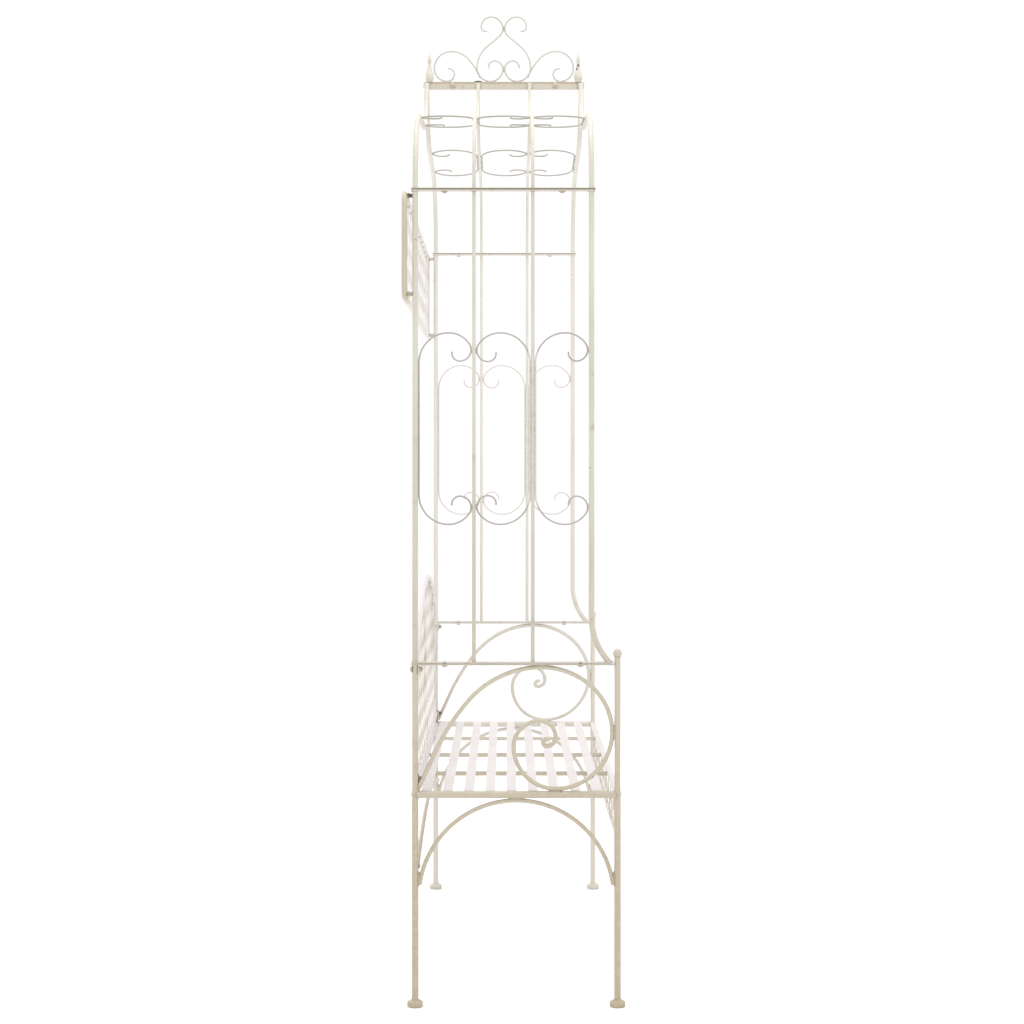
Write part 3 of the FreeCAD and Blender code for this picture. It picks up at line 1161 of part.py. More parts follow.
def make_fasteners():
    """Bolts at the arms, the roof, the ridge and the back, with their spacers and nuts."""
    nut_block = add("Part::Prism", "nut_block", Circumradius="Dim.nut_width / sqrt(3)",
                    Height="Dim.nut_height")
    nut_bore = add("Part::Cylinder", "nut_bore", Radius="Fit.bolt_hole / 2", Height="Dim.nut_height")
    nut = cut("nut", nut_block, nut_bore)

    bar_bolt = bolt("bar_bolt", "Fit.bar_grip + Dim.bolt_end")
    bar_spacer = tube("bar_spacer", ("Dim.bar_spacer_diameter", "Fit.bolt_hole"), "Dim.bar_gap")
    bar_bolts, bar_spacers, ridge_bolts, back_bolts, nuts = [], [], [], [], []
    for sign in SIDES.values():
        x = f"{sign} * Fit.frame_x"
        spots = [(spot, "Dim.arm_height") for spot in arm_bolt_spots()]
        spots += [(spot, "Fit.trellis_top") for spot in roof_bolt_spots()]
        for spot, z in spots:
            y = f"Fit.rear_y - {spot}"
            bar_bolts.append(copy(bar_bolt, x, y, z, UPSIDE_DOWN))
            bar_spacers.append(copy(bar_spacer, x, y, f"{z} + Dim.bar_thickness"))
    keep(group("bar_bolt_set", bar_bolts + bar_spacers), "bar_bolts")

    ridge_bolt = bolt("ridge_bolt", "Fit.ridge_grip + Dim.nut_height + Dim.bolt_end")
    ridge_middle = "Fit.ridge_bottom + Dim.ridge_bar_height / 2"
    for spot in roof_bolt_spots():
        y = f"Fit.rear_y - {spot}"
        ridge_bolts.append(copy(ridge_bolt, "-Dim.ridge_bar_thickness", y, ridge_middle, HEAD_AT_LEFT))
        nuts.append(copy(nut, "Dim.ridge_bar_thickness", y, ridge_middle, SIDEWAYS_DRILL))
    keep(group("ridge_bolt_set", ridge_bolts), "ridge_bolts")

    back_bolt = bolt("back_bolt", "Fit.leg_grip + Dim.nut_height + Dim.back_bolt_end")
    stud_length = "Fit.stud_grip + Dim.nut_height + Dim.back_bolt_end"
    back_stud = tube("back_stud", ("Dim.bolt_diameter",), stud_length)
    leg_rear = "Fit.rear_y + Fit.arm_post_radius + Dim.joint_gap"
    for sign in SIDES.values():
        over, under = f"{sign} * Fit.frame_x", f"{sign} * Fit.back_half"
        back_bolts.append(copy(back_bolt, over, leg_rear, "Fit.back_bolt_top", HEAD_AT_REAR))
        back_bolts.append(copy(back_stud, under, "Fit.rear_y", "Fit.back_bottom", FORWARD_DRILL))
        nuts.append(copy(nut, over, "Fit.lug_y", "Fit.back_bolt_top", FORWARD_DRILL))
        nuts.append(copy(nut, under, "Fit.lug_y", "Fit.back_bottom", FORWARD_DRILL))
    keep(group("back_bolt_set", back_bolts), "back_bolts")
    keep(group("nut_set", nuts), "nuts")


def make_bench():
    """Build the whole bench."""
    fill_sheet()
    ridge_block = add("Part::Box", "ridge_block", Length="2 * (Dim.ridge_bar_thickness + Dim.joint_gap)",
                      Width="2 * Dim.leg_spacing", Height="Dim.roof_throat")
    place(ridge_block, "-(Dim.ridge_bar_thickness + Dim.joint_gap)", "-Dim.leg_spacing",
          "Fit.ridge_top - Dim.roof_throat / 2")
    for side, sign in SIDES.items():
        x = f"{sign} * Fit.frame_x"
        make_legs(side, x)
        make_end_frame(side, x)
        make_trellis(side, x)
        make_roof_half(side, sign, x, ridge_block)
    make_crest()
    make_feet_and_balls()
    make_seat()
    make_apron()
    make_back()
    make_stretcher()
    make_panel()
    make_fasteners()
    doc.recompute()


def check_document():
    """Stop if any object failed or any node has no sound shape."""
    failed = [piece.Name for piece in doc.Objects if {"Invalid", "Error"} & set(piece.State)]
    if failed:
        raise RuntimeError(f"failed objects: {failed}")
    for node in nodes:
        if node.Shape.isNull() or not node.Shape.isValid() or not node.Shape.Solids:
            raise RuntimeError(f"no sound shape: {node.Label}")


def write_parts():
    """Write each node to its own file."""
    os.makedirs("parts", exist_ok=True)
    for node in nodes:
        node.Shape.exportStep(f"parts/{node.Label}.step")
    print(f"{len(nodes)} nodes, {sum(len(node.Shape.Solids) for node in nodes)} solids")


make_bench()
check_document()
write_parts()
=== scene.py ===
"""Looks of a cream-painted iron garden bench with trellis ends: paint, welds, nuts, spires and a studio."""

import logging
import math
from abc import ABC, abstractmethod
from collections.abc import Iterator, Mapping, Sequence
from dataclasses import dataclass, replace
from enum import Enum

import bmesh
import bpy
from mathutils import Matrix, Vector


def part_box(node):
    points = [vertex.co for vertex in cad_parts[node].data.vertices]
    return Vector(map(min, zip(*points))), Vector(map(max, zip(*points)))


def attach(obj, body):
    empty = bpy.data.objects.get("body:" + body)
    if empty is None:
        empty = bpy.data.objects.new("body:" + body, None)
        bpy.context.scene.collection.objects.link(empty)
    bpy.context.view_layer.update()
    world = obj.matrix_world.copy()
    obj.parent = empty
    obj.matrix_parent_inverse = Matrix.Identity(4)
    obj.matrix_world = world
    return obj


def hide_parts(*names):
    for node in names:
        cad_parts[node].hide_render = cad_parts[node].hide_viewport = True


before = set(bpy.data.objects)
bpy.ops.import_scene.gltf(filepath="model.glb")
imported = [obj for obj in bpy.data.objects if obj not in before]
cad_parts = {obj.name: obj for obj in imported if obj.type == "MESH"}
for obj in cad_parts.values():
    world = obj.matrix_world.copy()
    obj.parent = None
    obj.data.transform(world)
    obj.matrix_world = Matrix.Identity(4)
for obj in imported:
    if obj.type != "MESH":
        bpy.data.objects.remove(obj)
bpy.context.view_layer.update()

BODY = "root"
UP, ALONG, ACROSS = Vector((0, 0, 1)), Vector((1, 0, 0)), Vector((0, 1, 0))

Triple = tuple[float, float, float]
Colour = Triple
log = logging.getLogger("garden_bench")


class Slot(Enum):
    """Finishes that the record names."""

    PAINT = "cream_paint"
    FASTENER = "dark_fasteners"


class Side(Enum):
    """The two ends of the bench, by the sign of X."""

    LEFT = -1
    RIGHT = 1

    @property
    def label(self) -> str:
        """The word that ends the names of this side's pieces."""
        return self.name.lower()


@dataclass(frozen=True)
class BenchSizes:
    """Places and diameters that several sub-assemblies share, in metres, as the CAD has them."""

    frame_x: float = 0.6225
    rear_y: float = 0.2195
    leg_spacing: float = 0.452
    leg_radius: float = 0.0075
    arm_post_radius: float = 0.00675
    front_leg_top: float = 0.7815
    seat_rail_height: float = 0.473
    seat_rail_radius: float = 0.008
    arm_height: float = 0.7625
    bar_thickness: float = 0.0025
    bar_gap: float = 0.002
    trellis_depth: float = 0.394
    trellis_height: float = 1.0515
    bay_count: int = 3
    post_radius: float = 0.0065
    rod_radius: float = 0.00425
    back_half: float = 0.6088
    back_radius: float = 0.00675
    back_bottom: float = 0.506
    lug_front: float = 0.21055

    @property
    def front_y(self) -> float:
        """Y of the front legs."""
        return self.rear_y - self.leg_spacing

    @property
    def front_post_y(self) -> float:
        """Y of the front posts of the trellises."""
        return self.rear_y - self.trellis_depth

    @property
    def bay(self) -> float:
        """Spacing of the uprights in a trellis."""
        return self.trellis_depth / self.bay_count

    @property
    def bar_stack(self) -> float:
        """Height of two flat bars with the gap between them."""
        return 2 * self.bar_thickness + self.bar_gap

    @property
    def base_bar_top(self) -> float:
        """Height on which the trellis stands."""
        return self.arm_height + self.bar_stack

    @property
    def trellis_top(self) -> float:
        """Height of the underside of the top bar."""
        return self.base_bar_top + self.trellis_height

    @property
    def roof_foot(self) -> float:
        """Height on which the roof tubes stand."""
        return self.trellis_top + self.bar_stack

    @property
    def rods_y(self) -> tuple[float, float]:
        """Y of the two inner rods, the rear one first."""
        return self.rear_y - self.bay, self.rear_y - 2 * self.bay

    @property
    def bays(self) -> tuple[tuple[float, float], ...]:
        """The bays of a trellis, from the rear one on.

        Returns:
            Y of the rear and the front edge of each.
        """
        rear_rod, front_rod = self.rods_y
        return (
            (self.rear_y - self.post_radius, rear_rod + self.rod_radius),
            (rear_rod - self.rod_radius, front_rod + self.rod_radius),
            (front_rod - self.rod_radius, self.front_post_y + self.post_radius),
        )

    @property
    def outer_bay_middles(self) -> tuple[float, float]:
        """Y of the bolts in the middles of the outer bays, the rear one first."""
        return self.rear_y - self.bay / 2, self.front_post_y + self.bay / 2


SIZES = BenchSizes()


class Signal:
    """A number that varies over a surface, written as Python arithmetic."""

    def __init__(self, graph: "PaintGraph", socket: bpy.types.NodeSocket) -> None:
        """Wrap an output socket of a graph."""
        self.graph = graph
        self.socket = socket

    def joined(self, operation: str, first: "Signal | float", second: "Signal | float" = 0.0) -> "Signal":
        """Work two numbers or signals together in a Math node."""
        node = self.graph.add("ShaderNodeMath", {"operation": operation}, {0: first, 1: second})
        return Signal(self.graph, node.outputs[0])

    def __add__(self, other: "Signal | float") -> "Signal":
        """Sum."""
        return self.joined("ADD", self, other)

    __radd__ = __add__

    def __sub__(self, other: "Signal | float") -> "Signal":
        """Difference."""
        return self.joined("SUBTRACT", self, other)

    def __rsub__(self, other: float) -> "Signal":
        """Difference from a plain number."""
        return self.joined("SUBTRACT", other, self)

    def __mul__(self, other: "Signal | float") -> "Signal":
        """Product."""
        return self.joined("MULTIPLY", self, other)

    def __abs__(self) -> "Signal":
        """Size without its sign."""
        return self.joined("ABSOLUTE", self)

    def __or__(self, other: "Signal | float") -> "Signal":
        """The larger of two masks."""
        return self.joined("MAXIMUM", self, other)

    def step(self, start: float, end: float) -> "Signal":
        """Rise smoothly from 0 at start to 1 at end.

        Args:
            start: where the rise begins; above end, the step falls.
            end: where it is complete.

        Returns:
            A mask from 0 to 1.
        """
        node = self.graph.add(
            "ShaderNodeMapRange",
            {"interpolation_type": "SMOOTHSTEP"},
            {"Value": self, "From Min": start, "From Max": end},
        )
        return Signal(self.graph, node.outputs[0])


class PaintGraph:
    """The node tree of one finish."""

    NOISE_MIDDLE = 0.5
    OCTAVE_SHARE = 0.6
    SPOT_CORE = 0.55

    def __init__(self, name: str) -> None:
        """Start an empty material.

        Args:
            name: its name.
        """
        self.material = bpy.data.materials.new(name)
        self.material.use_nodes = True
        self.tree = self.material.node_tree
        self.tree.nodes.clear()
        self.place = self.add("ShaderNodeTexCoord").outputs["Object"]

    def add(
        self,
        kind: str,
        settings: Mapping[str, object] | None = None,
        sockets: Mapping[str | int, object] | None = None,
    ) -> bpy.types.Node:
        """Add a node.

        Args:
            kind: its type.
            settings: its own properties, set first.
            sockets: values or links of its inputs, by name or place.

        Returns:
            The node.
        """
        node = self.tree.nodes.new(kind)
        for setting, value in (settings or {}).items():
            setattr(node, setting, value)
        for key, value in (sockets or {}).items():
            source = value.socket if isinstance(value, Signal) else value
            if isinstance(source, bpy.types.NodeSocket):
                self.tree.links.new(source, node.inputs[key])
            else:
                node.inputs[key].default_value = source
        return node

    def noise(
        self, scale: float, detail: float, stretch: Triple = (1, 1, 1), seed: float = 0.0
    ) -> Signal:
        """Cloudy noise in the bench's own frame.

        Args:
            scale: lumps per metre.
            detail: octaves of finer noise.
            stretch: how much finer it is along each axis.
            seed: shift, so that two noises differ.

        Returns:
            A signal around 0.5.
        """
        moved = self.add(
            "ShaderNodeMapping",
            {"vector_type": "POINT"},
            {"Vector": self.place, "Scale": stretch, "Location": (seed, 2 * seed, 3 * seed)},
        )
        node = self.add(
            "ShaderNodeTexNoise",
            {"noise_dimensions": "3D"},
            {"Vector": moved.outputs[0], "Scale": scale, "Detail": detail, "Roughness": self.OCTAVE_SHARE},
        )
        return Signal(self, node.outputs["Fac"])

    def axis(self, letter: str) -> Signal:
        """One coordinate in the bench's frame, in metres."""
        split = self.add("ShaderNodeSeparateXYZ", None, {0: self.place})
        return Signal(self, split.outputs[letter])

    def near(self, point: Triple, radius: float) -> Signal:
        """A soft round spot: 1 at a point in the bench's frame, 0 from a radius on."""
        node = self.add("ShaderNodeVectorMath", {"operation": "DISTANCE"}, {0: self.place, 1: point})
        return Signal(self, node.outputs["Value"]).step(radius, radius * self.SPOT_CORE)

    def blend(
        self, factor: Signal, first: bpy.types.NodeSocket | Colour, second: bpy.types.NodeSocket | Colour
    ) -> bpy.types.NodeSocket:
        """Mix two colours.

        Args:
            factor: how much of the second shows.
            first: the lower colour.
            second: the upper colour.

        Returns:
            The mixed colour's socket.
        """
        first, second = ((*c, 1.0) if isinstance(c, tuple) else c for c in (first, second))
        node = self.add("ShaderNodeMix", {"data_type": "RGBA"}, {0: factor, 6: first, 7: second})
        return node.outputs[2]

    def bump(self, height: Signal, depth: float) -> bpy.types.NodeSocket:
        """Turn a height into a normal, with the relief's depth in metres."""
        node = self.add("ShaderNodeBump", None, {"Strength": 1.0, "Distance": depth, "Height": height})
        return node.outputs["Normal"]

    def surface(self, sockets: Mapping[str | int, object]) -> bpy.types.Material:
        """Close the graph with a surface shader.

        Args:
            sockets: its values and links.

        Returns:
            The finished material.
        """
        shader = self.add("ShaderNodeBsdfPrincipled", None, sockets)
        self.add("ShaderNodeOutputMaterial", None, {"Surface": shader.outputs[0]})
        return self.material


@dataclass(frozen=True)
class DarkSpot:
    """A dark round spot in primer colour, at a chip where the paint has flaked off and, by one arm bolt, as
    painted shade; its middle and radius, in metres.
    """

    middle: Triple
    radius: float


@dataclass(frozen=True)
class Enamel:
    """Brushed cream enamel over brown primer, with an antique wash and dark seam lines, partly painted shade.

    It is darker and yellower towards the ground, and painted lighter towards the right end, a painted
    highlight where the light fell brighter. Scales are lumps per metre, lengths are in metres and shares are
    from 0 to 1.
    """

    PATCH_SPAN = (0.36, 0.64)
    MOTTLE_SPAN = (0.42, 0.72)
    MOTTLE_SHARE = 0.35
    RUN_SCALE = 55.0
    RUN_STRETCH = (1, 1, 0.12)
    RUN_SPAN = (0.60, 0.74)
    RUN_SHARE = 0.5
    STAIN_SHARE = 0.4
    WASH_EDGE = 0.14
    WASH_LOSS_IN_PAINTED_LIGHT = 0.7
    SEAM_CORE = 0.4
    CHIP_EDGE = 0.02
    EDGE_WANDER = 0.001
    PAINTED_LIGHT_REACH = 0.012
    PAINTED_LIGHT_CORE = 0.008
    PEEL_SCALE = 900.0
    PEEL_HEIGHT = 0.3
    BRUSH_SCALE = 160.0
    BRUSH_HEIGHT = 0.7
    BRUSH_ROUGHNESS = 0.22
    WASH_ROUGHNESS = 0.12
    CHIP_ROUGHNESS = 0.25
    CHIP_DEPTH = 0.6
    SPECULAR = 0.42

    name: str
    cream: Colour = (0.622, 0.593, 0.517)
    shade: Colour = (0.566, 0.536, 0.462)
    low_tone: Colour = (0.425, 0.357, 0.254)
    painted_light_tone: Colour = (0.68, 0.65, 0.605)
    wash_and_shade: Colour = (0.33, 0.265, 0.17)
    primer_and_shade: Colour = (0.085, 0.066, 0.048)
    full_tone_above: float = 1.6
    low_tone_below: float = -0.1
    painted_light_share: float = 0.62
    painted_light_from: float = -0.45
    painted_light_to: float = 0.75
    painted_light_y: float = 0.0
    patch_scale: float = 4.5
    mottle_scale: float = 70.0
    wash_scale: float = 24.0
    wash_from: float = 0.60
    wash_share: float = 0.5
    chip_scale: float = 130.0
    chip_from: float = 0.735
    roughness: float = 0.44
    relief: float = 0.00012
    seam_height: float = 0.0
    seam_reach: float = 0.002
    seam_share: float = 0.8
    stain_height: float = 0.0
    dark_spots: tuple[DarkSpot, ...] = ()

    def fading(self, graph: PaintGraph) -> Signal:
        """How much painted light there is: paler towards the bench's right end, and beside a rod where wires
        lie on it, to lift the shade there.

        Args:
            graph: the graph that takes the nodes.

        Returns:
            A mask from 0 to 1.
        """
        # Painted light: paler towards the right end, where the light fell brighter.
        painted_lift = graph.axis("X").step(self.painted_light_from, self.painted_light_to) * self.painted_light_share
        # Painted light: paler along a rod where wires lie beside it, lifting the shade between them.
        if self.painted_light_y:
            painted_lift = painted_lift | abs(graph.axis("Y") - self.painted_light_y).step(self.PAINTED_LIGHT_REACH, self.PAINTED_LIGHT_CORE)
        return painted_lift

    def tone(self, graph: PaintGraph) -> bpy.types.NodeSocket:
        """Cream that drifts in wide patches, turns darker and yellower towards the ground, is painted lighter
        where the light fell brighter, and is finely mottled.

        Args:
            graph: the graph that takes the nodes.

        Returns:
            The colour's socket.
        """
        patches = graph.noise(self.patch_scale, detail=2.0).step(*self.PATCH_SPAN)
        mottle = graph.noise(self.mottle_scale, detail=4.0, seed=1.7).step(*self.MOTTLE_SPAN)
        # Darker and yellower towards the ground.
        lowness = graph.axis("Z").step(self.full_tone_above, self.low_tone_below)
        drift = graph.blend(lowness, graph.blend(patches, self.cream, self.shade), self.low_tone)
        mottled = graph.blend(mottle * self.MOTTLE_SHARE, drift, self.shade)
        return graph.blend(self.fading(graph), mottled, self.painted_light_tone)

    def wash_and_shade_mask(self, graph: PaintGraph) -> Signal:
        """Where the brown wash was left in smudges, runs and at the foot of the piece, with a dark seam line
        that is partly painted shade.

        Args:
            graph: the graph that takes the nodes.

        Returns:
            A mask from 0 to 1.
        """
        cloud = graph.noise(self.wash_scale, detail=6.0, seed=4.1)
        streaks = graph.noise(self.RUN_SCALE, detail=3.0, stretch=self.RUN_STRETCH, seed=7.3)
        smudges = cloud.step(self.wash_from, self.wash_from + self.WASH_EDGE) * self.wash_share
        runs = streaks.step(*self.RUN_SPAN) * (self.RUN_SHARE * self.wash_share)
        mask = smudges | runs
        height = graph.axis("Z")
        # A dark line at one height: on the top bars, brown wash and painted shade in the gap between them; on
        # the ridge, a darker band along its top edge.
        if self.seam_height:
            distance = abs(height - self.seam_height) + (cloud - graph.NOISE_MIDDLE) * self.EDGE_WANDER
            mask = mask | distance.step(self.seam_reach, self.seam_reach * self.SEAM_CORE) * self.seam_share
        if self.stain_height:
            wander = (cloud - graph.NOISE_MIDDLE) * self.stain_height
            stain = (height + wander).step(self.stain_height, 0.0)
            mask = mask | stain * self.STAIN_SHARE
        # Less wash where the colour is painted lighter, as part of that painted light.
        return mask * (1 - self.fading(graph) * self.WASH_LOSS_IN_PAINTED_LIGHT)

    def chip_and_shade_mask(self, graph: PaintGraph) -> Signal:
        """Where the paint is chipped to the primer, and where a dark spot of painted shade is laid.

        Args:
            graph: the graph that takes the nodes.

        Returns:
            A mask from 0 to 1.
        """
        specks = graph.noise(self.chip_scale, detail=2.0, seed=9.9)
        mask = specks.step(self.chip_from, self.chip_from + self.CHIP_EDGE)
        for dark_spot in self.dark_spots:
            mask = mask | graph.near(dark_spot.middle, dark_spot.radius)
        return mask

    def build(self) -> bpy.types.Material:
        """Make the material.

        Returns:
            The painted material.
        """
        graph = PaintGraph(self.name)
        # Wash and the painted shade of seams darken the tone; chips and a spot of painted shade take the
        # primer colour.
        washed_and_shaded, chipped_and_shaded = self.wash_and_shade_mask(graph), self.chip_and_shade_mask(graph)
        colour = graph.blend(chipped_and_shaded, graph.blend(washed_and_shaded, self.tone(graph), self.wash_and_shade), self.primer_and_shade)
        peel = graph.noise(self.PEEL_SCALE, detail=2.0, seed=3.3)
        brush = graph.noise(self.BRUSH_SCALE, detail=3.0, seed=5.5)
        rough = self.roughness + (brush - graph.NOISE_MIDDLE) * self.BRUSH_ROUGHNESS
        rough = rough + washed_and_shaded * self.WASH_ROUGHNESS + chipped_and_shaded * self.CHIP_ROUGHNESS
        height = brush * self.BRUSH_HEIGHT + peel * self.PEEL_HEIGHT - chipped_and_shaded * self.CHIP_DEPTH
        return graph.surface({
            "Base Color": colour,
            "Roughness": rough,
            "Normal": graph.bump(height, self.relief),
            "Specular IOR Level": self.SPECULAR,
        })


@dataclass(frozen=True)
class BlackenedSteel:
    """Dark oiled steel with a bloom of rust."""

    GRAIN_SCALE = 700.0
    BLOOM_SCALE = 210.0
    BLOOM_SPAN = (0.55, 0.72)
    BLOOM_SHARE = 0.7
    BLOOM_ROUGHNESS = 0.3
    RUB_SCALE = 320.0
    RUB_SPAN = (0.56, 0.70)
    RUB_SHARE = 0.6
    RUB_GLOSS = 0.12
    BARE_METAL = 0.7

    name: str
    steel: Colour = (0.085, 0.072, 0.058)
    rubbed: Colour = (0.21, 0.185, 0.15)
    rust: Colour = (0.19, 0.095, 0.045)
    roughness: float = 0.48
    relief: float = 0.00008

    def build(self) -> bpy.types.Material:
        """Make the material.

        Returns:
            The steel material.
        """
        graph = PaintGraph(self.name)
        grain = graph.noise(self.GRAIN_SCALE, detail=4.0)
        bloom = graph.noise(self.BLOOM_SCALE, detail=5.0, seed=2.2).step(*self.BLOOM_SPAN)
        rubbed = graph.noise(self.RUB_SCALE, detail=2.0, seed=6.4).step(*self.RUB_SPAN)
        metal = graph.blend(rubbed * self.RUB_SHARE, self.steel, self.rubbed)
        colour = graph.blend(bloom * self.BLOOM_SHARE, metal, self.rust)
        return graph.surface({
            "Base Color": colour,
            "Roughness": self.roughness + bloom * self.BLOOM_ROUGHNESS - rubbed * self.RUB_GLOSS,
            "Metallic": (1 - bloom) * self.BARE_METAL,
            "Normal": graph.bump(grain, self.relief),
        })


@dataclass(frozen=True)
class PaleFloor:
    """A matt studio floor, nearly white."""

    name: str = "pale_floor"
    pale: Colour = (0.965, 0.965, 0.962)
    warm: Colour = (0.955, 0.953, 0.948)
    cloud_scale: float = 0.4
    roughness: float = 0.75
    unevenness: float = 0.1
    specular: float = 0.2

    def build(self) -> bpy.types.Material:
        """Make the material.

        Returns:
            The floor material.
        """
        graph = PaintGraph(self.name)
        clouds = graph.noise(self.cloud_scale, detail=2.0)
        return graph.surface({
            "Base Color": graph.blend(clouds, self.pale, self.warm),
            "Roughness": self.roughness + (clouds - graph.NOISE_MIDDLE) * self.unevenness,
            "Specular IOR Level": self.specular,
        })


@dataclass(frozen=True)
class Finishes:
    """Every material of the bench."""

    tube: bpy.types.Material
    bar: bpy.types.Material
    ridge: bpy.types.Material
    panel: bpy.types.Material
    wire: bpy.types.Material
    roof_wire: bpy.types.Material
    crest: bpy.types.Material
    strip: bpy.types.Material
    panel_strip: bpy.types.Material
    slat: bpy.types.Material
    turned: bpy.types.Material
    weld: bpy.types.Material
    bolt: bpy.types.Material
    nut: bpy.types.Material
    steel: bpy.types.Material

    @classmethod
    def mixed(cls) -> "Finishes":
        """Mix every finish of the bench.

        Returns:
            The set of materials.
        """
        # Seam line 1 mm over the middle of the gap between the top bars: brown wash and painted shade of the
        # gap.
        top_seam = SIZES.trellis_top + SIZES.bar_stack / 2 + 0.001
        ridge_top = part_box("ridge_bar_left")[1].z
        spire_y = SIZES.front_post_y + 0.007
        spire_chips = (
            DarkSpot((-0.004, spire_y, ridge_top + 0.042), radius=0.005),
            DarkSpot((-0.004, spire_y + 0.005, ridge_top + 0.033), radius=0.0055),
        )
        low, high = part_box("upper_panel_spacers")
        gap_z = SIZES.arm_height + SIZES.bar_stack / 2
        bolt_chip_and_shade = (
            DarkSpot((low.x + 0.004, (low.y + high.y) / 2, high.z - 0.005), radius=0.008),
            # Painted shade: a dark spot in the gap between the near arm bars, by the front bolt, where the
            # washer shades the gap.
            DarkSpot((-SIZES.frame_x - 0.004, SIZES.outer_bay_middles[1], gap_z), radius=0.006),
        )
        enamels = (
            Enamel("tube_enamel"),
            Enamel("bar_enamel", wash_share=0.6, seam_height=top_seam),
            Enamel(
                "ridge_enamel", cream=(0.53, 0.485, 0.385), shade=(0.48, 0.435, 0.335), wash_share=0.7,
                seam_height=ridge_top - 0.001, seam_reach=0.006, seam_share=0.7,
            ),
            # Upper panel: painted lighter from x = -0.61 m on, towards the right end.
            Enamel(
                "panel_enamel", cream=(0.55, 0.505, 0.40), shade=(0.49, 0.445, 0.34),
                painted_light_tone=(0.70, 0.67, 0.64), painted_light_share=0.85, painted_light_from=-0.61, painted_light_to=-0.40,
            ),
            # Trellis wires: painted lighter towards the right end, and along the front rod to lift the shade
            # beside it.
            Enamel(
                "wire_enamel", cream=(0.41, 0.40, 0.375), shade=(0.36, 0.35, 0.32), low_tone_below=-3.0,
                painted_light_tone=(0.61, 0.595, 0.57), painted_light_share=0.9, painted_light_y=SIZES.rods_y[1],
            ),
            # Roof scroll wires are darker: painted shade, as on undersides seen from below.
            Enamel(
                "roof_wire_enamel", cream=(0.41, 0.395, 0.36), shade=(0.36, 0.345, 0.305), low_tone_below=-3.0,
                painted_light_share=0.0,
            ),
            Enamel("crest_enamel", cream=(0.53, 0.525, 0.475), shade=(0.48, 0.475, 0.42)),
            # Lattice strips: wide brown patches, partly wash and partly painted shade of their shadowed
            # sides.
            Enamel(
                "strip_enamel", cream=(0.69, 0.65, 0.61), shade=(0.62, 0.575, 0.52), low_tone_below=-3.0,
                wash_scale=6.0, wash_from=0.5, wash_share=0.6,
            ),
            Enamel(
                "panel_strip_enamel", cream=(0.68, 0.648, 0.62), shade=(0.64, 0.605, 0.57), low_tone_below=-6.0,
                wash_share=0.3, painted_light_share=0.0,
            ),
            Enamel(
                "slat_enamel", cream=(0.655, 0.622, 0.622), shade=(0.62, 0.585, 0.58), low_tone_below=-6.0,
                wash_share=0.3, painted_light_share=0.0,
            ),
            Enamel(
                "turned_enamel", primer_and_shade=(0.20, 0.16, 0.135), stain_height=0.012, wash_from=0.57,
                dark_spots=spire_chips,
            ),
            Enamel("weld_enamel", cream=(0.53, 0.48, 0.385), shade=(0.44, 0.38, 0.275), wash_from=0.5),
            Enamel(
                "bolt_enamel", cream=(0.47, 0.44, 0.37), shade=(0.40, 0.365, 0.285), wash_from=0.46,
                chip_from=0.69, dark_spots=bolt_chip_and_shade,
            ),
            # Nuts: cream high up, dark brown low down.
            Enamel(
                "nut_enamel", cream=(0.50, 0.455, 0.36), shade=(0.43, 0.38, 0.285),
                low_tone=(0.13, 0.085, 0.05), full_tone_above=0.74, low_tone_below=0.55, painted_light_share=0.0, wash_share=0.2,
            ),
        )
        painted = {enamel.name.removesuffix("_enamel"): enamel.build() for enamel in enamels}
        return cls(**painted, steel=BlackenedSteel("blackened_steel").build())


